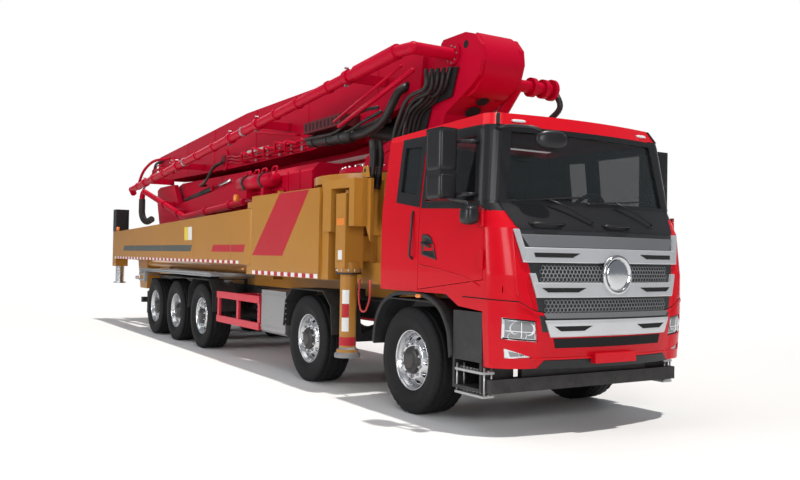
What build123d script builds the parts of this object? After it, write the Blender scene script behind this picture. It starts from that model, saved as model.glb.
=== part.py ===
from build123d import *
import os

# Five-axle truck-mounted concrete pump with a five-section folding boom, parked with the boom stowed.
# Millimetres. +X forward, +Y left, +Z up; the ground is Z = 0 and the origin is under the middle of
# the overall box. Lengths along the truck are counted from the first axle, forward positive: at()
# gives their place in the row frame.

os.makedirs("parts", exist_ok=True)

# Overall sizes
LENGTH = 14550
FRONT_OVERHANG = 1620
FIRST_AXLE = LENGTH / 2 - FRONT_OVERHANG
REAR_END = FRONT_OVERHANG - LENGTH
RUN = 0.3
SLIDE_GAP = 4

# Wheels: the single tyres are wide ones, the twins narrower
AXLE_X = {1: 0, 2: -2400, 3: -6530, 4: -7940, 5: -9290}
STEERED = (1, 2)
TWIN = (4, 5)
TYRE_R = 536
SINGLE_W = 385
TWIN_W = 300
TWIN_GAP = 40
FACE_Y = 1240
BEAD_R = 284
BARREL_R = 272
FLANGE_R = 300
BEAD_SHARE = 0.385
SPINDLE_R = 45
HOLE_CIRCLE_R = 226
HOLE_R = 20
KING_Y = 800
KING_PIN_R = 30
KING_BOSS_R = 60

# Chassis frame: two rails with the pump's subframe on them
RAIL_IN = 350
RAIL_OUT = 430
RAIL_LOW = 780
RAIL_TOP = 1060
FRAME_FRONT = 1180
FRAME_REAR = -11900
SUB_TOP = 1250
SUB_FRONT = -900
SIDE_Y = 1250
DECK_TOP = 1240
DECK_T = 40

# Cab
CAB_REAR = -600
CAB_FLOOR = 1230
CAB_WALL = 60
# each row is one level of the cab's outside: height, side half-width, where the side turns into the
# front corner, the corner's far end (x, half-width), and the bow's nose
CAB_LEVELS = (
    (600, 1200, 1270, 1470, 850, 1560),
    (1000, 1222, 1270, 1500, 860, 1585),
    (1430, 1225, 1250, 1460, 960, 1560),
    (1850, 1222, 1210, 1385, 1000, 1490),
    (2070, 1215, 1120, 1235, 1060, 1350),
    (2790, 1130, 1030, 1150, 955, 1240),
    (2920, 1070, 960, 1080, 900, 1170),
)
BAR_LOW = 375
BAR_HIGH = 500
GRILLE_LOW = 930
GRILLE_TOP = 1850
GRILLE_LOW_Y = 800
GRILLE_TOP_Y = 990
BUMPER_LOW = 610
BUMPER_REAR = 1270
BUMPER_SIDE_TOP = 1275
DOOR_OUTLINE = ((120, 1250), (1190, 1380), (1190, 2010), (1085, 2075), (1000, 2760), (140, 2760))
DOOR_WINDOW = ((220, 2130), (1034, 2095), (960, 2700), (220, 2700))
QUARTER_WINDOW = ((-270, 2235), (60, 2190), (60, 2700), (-270, 2715))
DOOR_GAP = 6
GLASS_T = 6
DOOR_HINGE_X = 1190
DOOR_HINGE_Y = 1240
DOOR_IN = 1150
HINGE_R = 20
HINGE_PIN_R = 8
HINGE_LEVELS = (1520, 1900)
HINGE_H = 80
EMBLEM_R = 130
EMBLEM_Z = 1450

# Pedestal, slewing platform and front outriggers
SLEW_X = -2050
PEDESTAL_REAR = -2800
PEDESTAL_FRONT = -1110
PEDESTAL_Y = 900
PEDESTAL_TOP = 2450
PLATFORM_R = 1200
PLATFORM_TOP = 2550
BEARING_R = 820
BEARING_TOP = 2600
LEG_X = {"right": -1500, "left": -1260}
BEAM_W = 210
BEAM_H = 320
BEAM_Z = 1660
BEAM_WALL = 12
LEG_Y = 1130
LEG_SIZE = 240
LEG_LOW = 1430
LEG_TOP = 2300
JACK_R = 98
FOOT_LOW = 400
FOOT_R = 150
FOOT_T = 30

# Side boxes and rear swing outriggers
BOX_REAR = -4260
BOX_FRONT = -1860
BOX_LOW = 1285
BOX_TOP = 2405
SWING_X = -4430
SWING_Y = 1100
SWING_R = 150
SWING_PIN_R = 50
ARM_LOW = 1420
ARM_TOP_FRONT = 2235
ARM_TOP_REAR = 2030
COLUMN_SIZE = 280
COLUMN_LOW = 1250
COLUMN_TOP = 2545
REAR_FOOT_LOW = 860
REAR_JACK_R = 95

# Hopper and pump
HOPPER_FRONT = -12050
HOPPER_REAR = -12860
HOPPER_TOP = 1430
HOPPER_LOW = 760
HOPPER_Y = 650
HOPPER_WALL = 12
CYLINDER_R = 125
CYLINDER_Z = 1380
CYLINDER_Y = 180
WATER_BOX_X = -9400
PIPE_R = 70

# Boom, in the stowed pose: pivots as (x, z), half-widths and planes across the truck
PIVOT_0 = (-620, 3880)
PIVOT_1 = (-11400, 3520)
PIVOT_2 = (-1950, 3320)
PIVOT_3 = (-11600, 2760)
PIVOT_4 = (-6350, 2640)
CHEEK_Y = 240
CHEEK_T = 60
ROOT_Y = 225
ARM_1_Y = 290
PLANE_2 = (350, 620)
PLANE_3 = (680, 940)
PLANE_4 = (-230, 230)
PLANE_5 = (-530, -300)
BARREL_EYE = (-1080, 2950)
ROD_EYE = (-3170, 3360)
LIFT_BARREL_R = 120
LIFT_ROD_R = 70
CAP_CENTRE = (-460, 3750)
CAP_R = 370
CAP_T = 40
NEAR_PIPE_Y = -850


def at(x):
    """Row-frame place of a length counted from the first axle."""
    return FIRST_AXLE + x


def block(x0, x1, y0, y1, z0, z1, mode=Mode.ADD):
    """Box between two corners."""
    with Locations((at((x0 + x1) / 2), (y0 + y1) / 2, (z0 + z1) / 2)):
        Box(abs(x1 - x0), abs(y1 - y0), abs(z1 - z0), mode=mode)


def upright(x, y, z0, z1, radius, mode=Mode.ADD):
    """Vertical cylinder."""
    with Locations((at(x), y, (z0 + z1) / 2)):
        Cylinder(radius, z1 - z0, mode=mode)


def crosswise(x, z, y0, y1, radius, mode=Mode.ADD):
    """Cylinder across the truck."""
    with Locations((at(x), (y0 + y1) / 2, z)):
        Cylinder(radius, abs(y1 - y0), rotation=(90, 0, 0), mode=mode)


def side_plate(outline, y0, y1, mode=Mode.ADD, cut=None):
    """Outline in the truck's side view, (x, z) pairs, less a cut one, as thick as from y0 to y1."""
    low, high = min(y0, y1), max(y0, y1)
    with BuildSketch(Plane.XZ.offset(-high)) as face:
        Polygon(*[(at(x), z) for x, z in outline], align=None)
        if cut:
            Polygon(*[(at(x), z) for x, z in cut], align=None, mode=Mode.SUBTRACT)
    extrude(face.sketch, amount=high - low, mode=mode)


def front_plate(outline, x0, x1, mode=Mode.ADD):
    """Outline in the front view, (y, z) pairs, from x0 forward to x1."""
    with BuildSketch(Plane.YZ.offset(at(x0))) as face:
        Polygon(*outline, align=None)
    extrude(face.sketch, amount=x1 - x0, mode=mode)


def rod(start, end, radius, mode=Mode.ADD):
    """Round bar between two points (x, y, z)."""
    tail = Vector(at(start[0]), start[1], start[2])
    head = Vector(at(end[0]), end[1], end[2])
    with BuildSketch(Plane(origin=tail, z_dir=head - tail)) as face:
        Circle(radius)
    extrude(face.sketch, amount=(head - tail).length, mode=mode)


def pipe(points, bends, radius=PIPE_R):
    """Pipe along straight runs joined by tangent bends."""
    with BuildLine() as route:
        FilletPolyline(*[(at(x), y, z) for x, y, z in points], radius=bends)
    with BuildSketch(Plane(origin=route.line @ 0, z_dir=route.line % 0)) as face:
        Circle(radius)
    sweep(face.sketch, path=route.line)


def couplings(points, radius=PIPE_R + 22, length=90):
    """Clamp rings round a straight pipe: (place, direction) pairs."""
    for (x, y, z), toward in points:
        with BuildSketch(Plane(origin=(at(x), y, z), z_dir=toward)) as face:
            Circle(radius)
        extrude(face.sketch, amount=length / 2, both=True)


def save(piece, name):
    """Labels a finished piece and writes it."""
    piece.part.label = name
    export_step(piece.part, f"parts/{name}.step")


def between(start, end, share):
    """Point part of the way from start to end."""
    return tuple(a + (b - a) * share for a, b in zip(start, end))


# ---------------------------------------------------------------- wheels, knuckles and axles
def tyre_half(width):
    """Outer half of a tyre's section, (radius, distance from its middle plane)."""
    bead = BEAD_SHARE * width - RUN
    return (
        (BEAD_R + RUN, bead),
        (FLANGE_R + 3, bead),
        (FLANGE_R + 16, bead + 17),
        (400, 0.5 * width),
        (475, 0.5 * width),
        (518, 0.46 * width),
        (TYRE_R, 0.38 * width),
    )


def wheel_section(width, shift, dish, hub):
    """Rim, disc and hub section: the barrel round shift, the disc and hub as outlines."""
    edge = BEAD_SHARE * width + 10
    lip = edge - 10
    Polygon(
        (BARREL_R, shift - edge), (BARREL_R, shift + edge), (FLANGE_R, shift + edge),
        (FLANGE_R, shift + lip), (BEAD_R, shift + lip), (BEAD_R, shift - lip),
        (FLANGE_R, shift - lip), (FLANGE_R, shift - edge), align=None)
    Polygon(*dish, align=None)
    Polygon(*hub, align=None)


bore = SPINDLE_R + RUN
SINGLE_DISH = ((BARREL_R + 2, 60), (185, 122), (bore, 122), (bore, 104), (178, 104), (BARREL_R + 2, 38))
SINGLE_HUB = ((bore, -60), (95, -60), (95, 150), (60, 176), (0, 176), (0, 140), (bore, 140))
MID = -(TWIN_W + TWIN_GAP) / 2
TWIN_DISH = (
    (BARREL_R + 2, MID + 105), (190, MID + 16), (bore, MID + 16), (bore, MID - 16), (190, MID - 16),
    (BARREL_R + 2, MID - 105), (BARREL_R + 2, MID - 85), (195, MID), (BARREL_R + 2, MID + 85))
TWIN_HUB = ((bore, MID - 90), (100, MID - 90), (100, MID + 130), (70, MID + 150), (0, MID + 150),
            (0, MID + 115), (bore, MID + 115))

for axle, x in AXLE_X.items():
    for side, sign in (("left", 1), ("right", -1)):
        twin = axle in TWIN
        width = TWIN_W if twin else SINGLE_W
        middle_y = sign * (FACE_Y - width / 2)
        hub_plane = Plane(origin=(at(x), middle_y, TYRE_R), x_dir=(0, 0, 1), z_dir=(-sign, 0, 0))
        spin = Axis((at(x), middle_y, TYRE_R), (0, 1, 0))
        shifts = (0, 2 * MID) if twin else (0,)
        with BuildPart() as wheel:
            for shift in shifts:
                half = tyre_half(width)
                other = [(r, -v) for r, v in reversed(half)]
                with BuildSketch(hub_plane):
                    Polygon(*[(r, v + shift) for r, v in (*half, *other)], align=None)
            revolve(axis=spin)
            with BuildSketch(hub_plane) as section:
                for shift in shifts:
                    wheel_section(width, shift, TWIN_DISH if twin else SINGLE_DISH,
                                  TWIN_HUB if twin else SINGLE_HUB)
            revolve(section.sketch, axis=spin)
            hole_from, hole_to = (MID + 20, MID + 105) if twin else (45, 140)
            with BuildSketch(Plane(origin=(at(x), middle_y + sign * hole_from, TYRE_R),
                                   z_dir=(0, sign, 0))) as holes:
                with PolarLocations(HOLE_CIRCLE_R, 10):
                    Circle(HOLE_R)
            extrude(holes.sketch, amount=hole_to - hole_from, mode=Mode.SUBTRACT)
        save(wheel, f"wheel_{axle}_{side}")

BEAM_LOW, BEAM_HIGH = 456, 600
KNUCKLE_LOW, KNUCKLE_HIGH = 380, 690
for axle in STEERED:
    x = AXLE_X[axle]
    for side, sign in (("left", 1), ("right", -1)):
        king_y = sign * KING_Y
        web_in = sign * (KING_Y + KING_BOSS_R + 6)
        web_out = sign * (KING_Y + KING_BOSS_R + 45)
        with BuildPart() as knuckle:
            upright(x, king_y, KNUCKLE_LOW, KNUCKLE_HIGH, KING_PIN_R)
            for low, high in ((KNUCKLE_LOW, BEAM_LOW - RUN), (BEAM_HIGH + RUN, KNUCKLE_HIGH)):
                upright(x, king_y, low, high, KING_BOSS_R)
                block(x - 50, x + 50, king_y, web_out, low, high)
            block(x - 60, x + 60, web_in, web_out, KNUCKLE_LOW, KNUCKLE_HIGH)
            block(x - 200, x - 55, web_in, web_out, 430, 475)
            crosswise(x, TYRE_R, web_in, sign * (FACE_Y - SINGLE_W / 2 + 130), SPINDLE_R)
        save(knuckle, f"knuckle_{axle}_{side}")

LEAF = ((-650, RAIL_LOW), (-650, 735), (-110, 612), (110, 612), (650, 735), (650, RAIL_LOW),
        (590, RAIL_LOW), (90, 664), (-90, 664), (-590, RAIL_LOW))
with BuildPart() as axles:
    for axle, x in AXLE_X.items():
        for sign in (1, -1):
            y_in, y_out = sign * (RAIL_IN + 2), sign * (RAIL_OUT - 2)
            side_plate([(x + dx, z) for dx, z in LEAF], y_in, y_out)
        if axle in STEERED:
            block(x - 55, x + 55, -KING_Y, KING_Y, 470, 590)
            block(x - 80, x + 80, -RAIL_OUT, RAIL_OUT, 560, 625)
            for sign in (1, -1):
                upright(x, sign * KING_Y, BEAM_LOW, BEAM_HIGH, KING_BOSS_R)
                upright(x, sign * KING_Y, BEAM_LOW, BEAM_HIGH, KING_PIN_R + RUN, mode=Mode.SUBTRACT)
        else:
            twin = axle in TWIN
            tube = 590 if twin else FACE_Y - SINGLE_W - 35
            reach = FACE_Y - TWIN_W / 2 + MID + 110 if twin else FACE_Y - SINGLE_W / 2 + 130
            crosswise(x, TYRE_R, -tube, tube, 80)
            crosswise(x, TYRE_R, -reach, reach, SPINDLE_R)
            if twin:
                with Locations((at(x), 0, TYRE_R)):
                    Sphere(200)
save(axles, "axles")

CROSS_MEMBERS = (1100, -1000, -3400, -5300, -7200, -8620, -10300)
with BuildPart() as chassis_frame:
    for sign in (1, -1):
        block(FRAME_REAR + 100, FRAME_FRONT, sign * RAIL_IN, sign * RAIL_OUT, RAIL_LOW, RAIL_TOP)
        block(1060, FRAME_FRONT, sign * RAIL_IN, sign * RAIL_OUT, BAR_LOW, RAIL_LOW)
        for x, top in ((1000, 1105), (-500, CAB_FLOOR)):
            block(x - 60, x + 60, sign * RAIL_IN, sign * RAIL_OUT, RAIL_TOP, top)
    for x in CROSS_MEMBERS:
        block(x - 60, x + 60, -RAIL_IN, RAIL_IN, 830, 1010)
    block(FRAME_REAR, FRAME_REAR + 100, -600, 600, 700, 1000)
    for low in (640, 730):
        block(FRAME_REAR - 90, FRAME_REAR + 60, -70, 70, low, low + 30)
    block(FRAME_REAR, FRAME_REAR + 100, -70, 70, 640, 700)
    upright(FRAME_REAR - 40, 0, 630, 770, 25, mode=Mode.SUBTRACT)
save(chassis_frame, "chassis_frame")

with BuildPart() as engine_block:
    block(-350, 950, -RAIL_IN + RUN, RAIL_IN - RUN, 640, 1080)
save(engine_block, "engine_block")

# ---------------------------------------------------------------- things hung on the frame
with BuildPart() as side_tanks:
    for sign in (1, -1):
        block(-3950, -3120, sign * 650, sign * 1200, 490, 1080)
        for x in (-3800, -3270):
            block(x - 30, x + 30, sign * RAIL_OUT, sign * 650, 820, 1000)
    chamfer(side_tanks.edges().filter_by(Axis.X).group_by(Axis.Z)[0], 30)
save(side_tanks, "side_tanks")

with BuildPart() as side_guards:
    for sign in (1, -1):
        for low, high in ((880, 980), (500, 600)):
            block(-5760, -4000, sign * 1170, sign * 1220, low, high)
        for x in (-5720, -4880, -4040):
            block(x - 40, x + 40, sign * 1170, sign * 1205, 500, 980)
        for x in (-5400, -4400):
            block(x - 30, x + 30, sign * RAIL_OUT, sign * 1170, 900, 960)
save(side_guards, "side_guards")

ARCH_T = 14
ARCH_TOP = 1136
ARCH_INSIDE = ((-735, 600), (-735, 640), (-680, 970), (-470, ARCH_TOP), (470, ARCH_TOP), (680, 970),
               (735, 640), (735, 600))
ARCH_OUTSIDE = ((-749, 640), (-694, 977), (-475, ARCH_TOP + ARCH_T), (475, ARCH_TOP + ARCH_T),
                (694, 977), (749, 640))
ARCH_REACH = {1: 700, 2: 700, 3: 640}
with BuildPart() as mudguards:
    for axle, reach in ARCH_REACH.items():
        for sign in (1, -1):
            outside, inside = ([(AXLE_X[axle] + dx * reach / 735, z) for dx, z in outline]
                               for outline in (ARCH_OUTSIDE, ARCH_INSIDE))
            side_plate(outside, sign * 842, sign * 1238, cut=inside)
    for axle, x in AXLE_X.items():
        for sign in (1, -1):
            block(x - 60, x + 60, sign * RAIL_OUT, sign * (RAIL_OUT + 12), 900, ARCH_TOP + ARCH_T)
            block(x - 60, x + 60, sign * RAIL_OUT, sign * 860, ARCH_TOP, ARCH_TOP + ARCH_T)
            if axle in TWIN:
                block(x - 480, x + 480, sign * 620, sign * 1238, ARCH_TOP, ARCH_TOP + ARCH_T)
save(mudguards, "mudguards")

with BuildPart() as rear_underrun:
    block(-12700, -12600, -600, 600, 420, 540)
    for sign in (1, -1):
        side_plate([(-12600, 430), (-12600, 530), (FRAME_REAR, 820), (FRAME_REAR, 710)],
                   sign * 450, sign * 500)
save(rear_underrun, "rear_underrun")

with BuildPart() as walkway:
    for sign in (1, -1):
        block(-10500, -6100, sign * RAIL_OUT, sign * 1200, DECK_TOP - DECK_T, DECK_TOP)
        block(-10540, -10500, sign * 900, sign * 1200, DECK_TOP - 90, DECK_TOP)
        for z in (1010, 1120):
            rod((-10300, sign * 1150, z), (-10750, sign * 1150, z), 22)
        block(-10330, -10270, sign * 1120, sign * 1180, 980, DECK_TOP - DECK_T)
save(walkway, "walkway")


# ---------------------------------------------------------------- cab
def cab_form(inset):
    """Cab body between its levels, each level a closed outline of straight sides and a bowed front."""
    levels = []
    for z, side, turn, corner_x, corner_y, nose in CAB_LEVELS:
        w, t, cx, cy, n = side - inset, turn - inset / 2, corner_x - inset, corner_y - inset / 2, nose - inset
        bulge = ((t + cx) / 2 + (cx - t) * 0.16, (w + cy) / 2 + (w - cy) * 0.16)
        with BuildSketch(Plane.XY.offset(z)) as level:
            with BuildLine():
                rear = at(CAB_REAR + inset)
                Polyline((at(t), w), (rear, w), (rear, -w), (at(t), -w))
                ThreePointArc((at(t), -w), (at(bulge[0]), -bulge[1]), (at(cx), -cy))
                ThreePointArc((at(cx), -cy), (at(n), 0), (at(cx), cy))
                ThreePointArc((at(cx), cy), (at(bulge[0]), bulge[1]), (at(t), w))
            make_face()
        levels.append(level.sketch)
    loft(sections=levels, ruled=True)


with BuildPart() as cab_body:
    cab_form(0)
with BuildPart() as cab_hollow:
    cab_form(CAB_WALL)
    block(CAB_REAR, 1700, -1300, 1300, 0, CAB_FLOOR + CAB_WALL, mode=Mode.SUBTRACT)
    block(CAB_REAR, 1700, -1300, 1300, 2920 - CAB_WALL, 3200, mode=Mode.SUBTRACT)
    side_plate([(1130, 0), (1130, 2040), (1235, 2040), (1235, 2100), (1900, 2100), (1900, 0)],
               -1300, 1300, mode=Mode.SUBTRACT)


def door_prism(gap, y0, y1, mode):
    """The door's region in the side view, its edges moved by gap."""
    low, high = min(y0, y1), max(y0, y1)
    with BuildSketch(Plane.XZ.offset(-high)) as face:
        Polygon(*[(at(x), z) for x, z in DOOR_OUTLINE], align=None)
        if gap:
            offset(amount=-gap, kind=Kind.INTERSECTION)
    extrude(face.sketch, amount=high - low, mode=mode)


BELOW_CAB = ((CAB_REAR - 50, 0), (CAB_REAR - 50, CAB_FLOOR), (620, CAB_FLOOR), (820, 1130),
             (BUMPER_REAR, 1095), (BUMPER_REAR, 0))
ROOF_SLOPE = ((CAB_REAR - 50, 2852), (1250, 2928), (1250, 3200), (CAB_REAR - 50, 3200))
WINDSCREEN = ((-1010, 2110), (1010, 2110), (900, 2740), (-900, 2740))
GRILLE_FRONT = ((-GRILLE_LOW_Y, GRILLE_LOW), (GRILLE_LOW_Y, GRILLE_LOW), (GRILLE_TOP_Y, GRILLE_TOP),
                (-GRILLE_TOP_Y, GRILLE_TOP))
FRONT_PANEL_X = 1130

with BuildPart() as cab_shell:
    add(cab_body.part)
    add(cab_hollow.part, mode=Mode.SUBTRACT)
    side_plate(BELOW_CAB, -1400, 1400, mode=Mode.SUBTRACT)
    side_plate(ROOF_SLOPE, -1400, 1400, mode=Mode.SUBTRACT)
    block(FRONT_PANEL_X + 60, 1800, -1400, 1400, 0, BUMPER_SIDE_TOP, mode=Mode.SUBTRACT)
    front_plate(GRILLE_FRONT, FRONT_PANEL_X + 60, 1800, mode=Mode.SUBTRACT)
    front_plate(WINDSCREEN, 1060, 1800, mode=Mode.SUBTRACT)
    for sign in (1, -1):
        door_prism(0, sign * 1000, sign * 1400, Mode.SUBTRACT)
        side_plate(QUARTER_WINDOW, sign * 1000, sign * 1400, mode=Mode.SUBTRACT)
    for sign in (1, -1):
        block(FRONT_PANEL_X + 60, 1380, sign * 700, sign * 1150, BUMPER_SIDE_TOP - 5, 1330,
              mode=Mode.SUBTRACT)
        for z in HINGE_LEVELS:
            upright(DOOR_HINGE_X, sign * DOOR_HINGE_Y, z - 4, z + HINGE_H + 4, HINGE_R + 6,
                    mode=Mode.SUBTRACT)
            upright(DOOR_HINGE_X, sign * DOOR_HINGE_Y, z - 44, z - 4, HINGE_R)
            upright(DOOR_HINGE_X, sign * DOOR_HINGE_Y, z + HINGE_H + 4, z + HINGE_H + 44, HINGE_R)
            upright(DOOR_HINGE_X, sign * DOOR_HINGE_Y, z - 20, z + HINGE_H + 20, HINGE_PIN_R)
save(cab_shell, "cab_shell")

# panes follow the wall they close, set back from its outside
with BuildPart() as pane_skin:
    cab_form(18)
with BuildPart() as pane_back:
    cab_form(18 + GLASS_T)


def pane(name, outline, view, reach):
    """Glass sheet filling an opening, cut from the set-back skin."""
    with BuildPart() as glass:
        add(pane_skin.part)
        add(pane_back.part, mode=Mode.SUBTRACT)
        if view == "front":
            front_plate(outline, *reach, mode=Mode.INTERSECT)
        else:
            side_plate(outline, *reach, mode=Mode.INTERSECT)
    return glass


with BuildPart() as cab_windows:
    add(pane("windscreen", WINDSCREEN, "front", (1060, 1800)).part)
    for sign in (1, -1):
        add(pane("quarter", QUARTER_WINDOW, "side", (sign * 1000, sign * 1400)).part)
save(cab_windows, "cab_windows")

for side, sign in (("left", 1), ("right", -1)):
    with BuildPart() as door:
        add(cab_body.part)
        add(cab_hollow.part, mode=Mode.SUBTRACT)
        door_prism(DOOR_GAP, sign * 1000, sign * 1400, Mode.INTERSECT)
        side_plate(DOOR_WINDOW, sign * 1000, sign * 1400, mode=Mode.SUBTRACT)
        block(0, DOOR_HINGE_X, sign * 900, sign * DOOR_IN, CAB_FLOOR, CAB_FLOOR + CAB_WALL + 5,
              mode=Mode.SUBTRACT)
        for z in HINGE_LEVELS:
            upright(DOOR_HINGE_X, sign * DOOR_HINGE_Y, z - 50, z + HINGE_H + 50, HINGE_R + 6,
                    mode=Mode.SUBTRACT)
            upright(DOOR_HINGE_X, sign * DOOR_HINGE_Y, z, z + HINGE_H, HINGE_R)
            block(DOOR_HINGE_X - 40, DOOR_HINGE_X - 12, sign * (DOOR_HINGE_Y - 30),
                  sign * (DOOR_HINGE_Y + 10), z, z + HINGE_H)
            upright(DOOR_HINGE_X, sign * DOOR_HINGE_Y, z - 1, z + HINGE_H + 1, HINGE_PIN_R + RUN,
                    mode=Mode.SUBTRACT)
        # handle, and the mirror on its two arms
        block(240, 420, sign * 1218, sign * 1232, 1640, 1700)
        for x, y, z in ((1052, 1180, 2150), (987, 1110, 2640)):
            rod((x, sign * y, z), (x, sign * (y + 80), z), 16)
            rod((x, sign * (y + 62), z), (860, sign * 1340, z), 12)
        block(660, 900, sign * 1320, sign * 1500, 2110, 2760)
    save(door, f"door_{side}")
    with BuildPart() as door_glass:
        add(pane("door", DOOR_WINDOW, "side", (sign * 1000, sign * 1400)).part)
    save(door_glass, f"door_glass_{side}")

with BuildPart() as cab_interior:
    block(880, 1130 - RUN, -1000, 1000, 1700, 2010)
    for y in (560, -560):
        block(0, 520, y - 250, y + 250, 1620, 1740)
        side_plate([(-90, 1700), (40, 1700), (-60, 2480), (-180, 2480)], y - 240, y + 240)
        block(120, 420, y - 170, y + 170, CAB_FLOOR + CAB_WALL, 1620)
    rod((900, 560, 1900), (640, 560, 2060), 30)
    with BuildSketch(Plane(origin=(at(640), 560, 2060), z_dir=(-260, 0, 160))) as rim:
        Circle(235)
        Circle(205, mode=Mode.SUBTRACT)
        Rectangle(420, 40)
    extrude(rim.sketch, amount=30)
    block(860, 1129, -400, 400, CAB_FLOOR + CAB_WALL, 1700)
save(cab_interior, "cab_interior")

# front panel: a frame across the front with three bright slotted bars and dark mesh between
with BuildPart() as front_grille:
    add(cab_body.part)
    front_plate(GRILLE_FRONT, FRONT_PANEL_X + 60, 1800, mode=Mode.INTERSECT)
    front_plate([(-860, 1225), (860, 1225), (900, 1385), (-900, 1385)], 1560, 1800, mode=Mode.SUBTRACT)
    with Locations((at(1570), 0, EMBLEM_Z)):
        Cylinder(EMBLEM_R, 60, rotation=(0, 90, 0))
save(front_grille, "front_grille")

# bumper: the form's lowest band round the grille, with a lamp pocket at each corner
LAMP_FRONT = ((835, 840), (1150, 870), (1155, 1060), (855, 1030))
FOG_FRONT = ((880, 705), (1120, 700), (1130, 790))
with BuildPart() as front_bumper:
    add(cab_body.part)
    with BuildPart(mode=Mode.PRIVATE) as bumper_core:
        cab_form(70)
    add(bumper_core.part, mode=Mode.SUBTRACT)
    block(CAB_REAR - 50, BUMPER_REAR - 80, -1400, 1400, 0, 3200, mode=Mode.SUBTRACT)
    block(CAB_REAR - 50, 1800, -1400, 1400, BUMPER_SIDE_TOP, 3200, mode=Mode.SUBTRACT)
    block(CAB_REAR - 50, 1800, -1400, 1400, 0, BUMPER_LOW, mode=Mode.SUBTRACT)
    front_plate(GRILLE_FRONT, 1100, 1800, mode=Mode.SUBTRACT)
    for sign in (1, -1):
        for outline in (LAMP_FRONT, FOG_FRONT):
            front_plate([(sign * y, z) for y, z in outline], 1100, 1800, mode=Mode.SUBTRACT)
    block(1540, FRONT_OVERHANG, -260, 260, 640, 730)
save(front_bumper, "front_bumper")

with BuildPart() as headlamps:
    cab_form(16)
    with BuildPart(mode=Mode.PRIVATE) as lamp_back:
        cab_form(70)
    add(lamp_back.part, mode=Mode.SUBTRACT)
    with BuildPart(mode=Mode.PRIVATE) as lamp_shapes:
        for sign in (1, -1):
            for outline in (LAMP_FRONT, FOG_FRONT):
                front_plate([(sign * y, z) for y, z in outline], BUMPER_REAR - 80, 1800)
    add(lamp_shapes.part, mode=Mode.INTERSECT)
save(headlamps, "headlamps")

with BuildPart() as front_underrun:
    block(FRAME_FRONT, FRAME_FRONT + 105, -1190, 1190, BAR_LOW, BAR_HIGH)
    block(FRAME_FRONT, FRAME_FRONT + 60, -800, 800, BAR_HIGH, BUMPER_LOW)
    for sign in (1, -1):
        for x in (740, 1150):
            block(x, x + 30, sign * 850, sign * 1215, BAR_LOW, 1090)
        block(740, FRAME_FRONT, sign * 850, sign * 870, BAR_LOW, 1090)
        for low in (BAR_LOW, 640, 860):
            block(740, FRAME_FRONT, sign * 850, sign * 1215, low, low + 30)
        block(740, FRAME_FRONT, sign * 1190, sign * 1215, 660, 1090)
save(front_underrun, "front_underrun")

# ---------------------------------------------------------------- pedestal and subframe
REST_X = -8700
REST_TOP = 2250
with BuildPart() as pedestal:
    block(PEDESTAL_REAR, PEDESTAL_FRONT, -PEDESTAL_Y, PEDESTAL_Y, SUB_TOP, PEDESTAL_TOP)
    upright(SLEW_X, 0, PEDESTAL_TOP, PLATFORM_TOP, PLATFORM_R)
    upright(SLEW_X, 0, PLATFORM_TOP, BEARING_TOP - RUN, BEARING_R)
    for sign in (1, -1):
        block(FRAME_REAR + 100, SUB_FRONT, sign * RAIL_IN, sign * RAIL_OUT, RAIL_TOP, SUB_TOP)
    for x in (-4200, -6200, -11700):
        block(x - 50, x + 50, -RAIL_IN, RAIL_IN, SUB_TOP - 120, SUB_TOP)
    for side, sign in (("left", 1), ("right", -1)):
        x = LEG_X[side]
        gap_w, gap_h = BEAM_W / 2 + RUN, BEAM_H / 2 + RUN
        block(x - gap_w, x + gap_w, -PEDESTAL_Y - 1, PEDESTAL_Y + 1, BEAM_Z - gap_h, BEAM_Z + gap_h,
              mode=Mode.SUBTRACT)
        block(REST_X - 60, REST_X + 60, sign * RAIL_IN, sign * RAIL_OUT, SUB_TOP, REST_TOP)
    block(REST_X - 60, REST_X + 60, -RAIL_OUT, RAIL_OUT, REST_TOP - 120, REST_TOP)
save(pedestal, "pedestal")

with BuildPart() as side_boxes:
    for sign in (1, -1):
        block(BOX_REAR, BOX_FRONT - 200, sign * PEDESTAL_Y, sign * SIDE_Y, BOX_LOW, BOX_TOP)
        block(BOX_FRONT - 200, BOX_FRONT, sign * PEDESTAL_Y, sign * (SIDE_Y - 30), BOX_LOW, PEDESTAL_TOP)
        # lugs that carry the swing outrigger's hinge pin
        for low, high in ((BOX_LOW, ARM_LOW - SLIDE_GAP), (ARM_TOP_FRONT + SLIDE_GAP, 2330)):
            upright(SWING_X, sign * SWING_Y, low, high, SWING_R - 10)
            block(SWING_X, BOX_REAR + 10, sign * (SWING_Y - SWING_R + 10), sign * (SWING_Y + SWING_R - 10),
                  low, high)
        upright(SWING_X, sign * SWING_Y, ARM_LOW - 20, ARM_TOP_FRONT + 20, SWING_PIN_R)
        block(-3700, -3640, sign * 1040, sign * 1100, BOX_TOP, BOX_TOP + 60)
save(side_boxes, "side_boxes")

# hydraulic oil tank across the subframe, its top just under the swinging boom
TANK_REAR = -5750
TANK_FRONT = -3400
TANK_LOW = 1470
TANK_TOP = 2880
TANK_Y = 720
with BuildPart() as oil_tank:
    block(TANK_REAR, TANK_FRONT, -TANK_Y, TANK_Y, TANK_LOW, TANK_TOP)
    chamfer(oil_tank.edges().filter_by(Axis.X).group_by(Axis.Z)[-1], 120)
    for x in (TANK_REAR + 300, TANK_FRONT - 300):
        block(x - 60, x + 60, -RAIL_OUT, RAIL_OUT, SUB_TOP, TANK_LOW)
        block(x - 60, x + 60, -TANK_Y + 40, TANK_Y - 40, TANK_LOW - 60, TANK_LOW)
save(oil_tank, "oil_tank")

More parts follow.
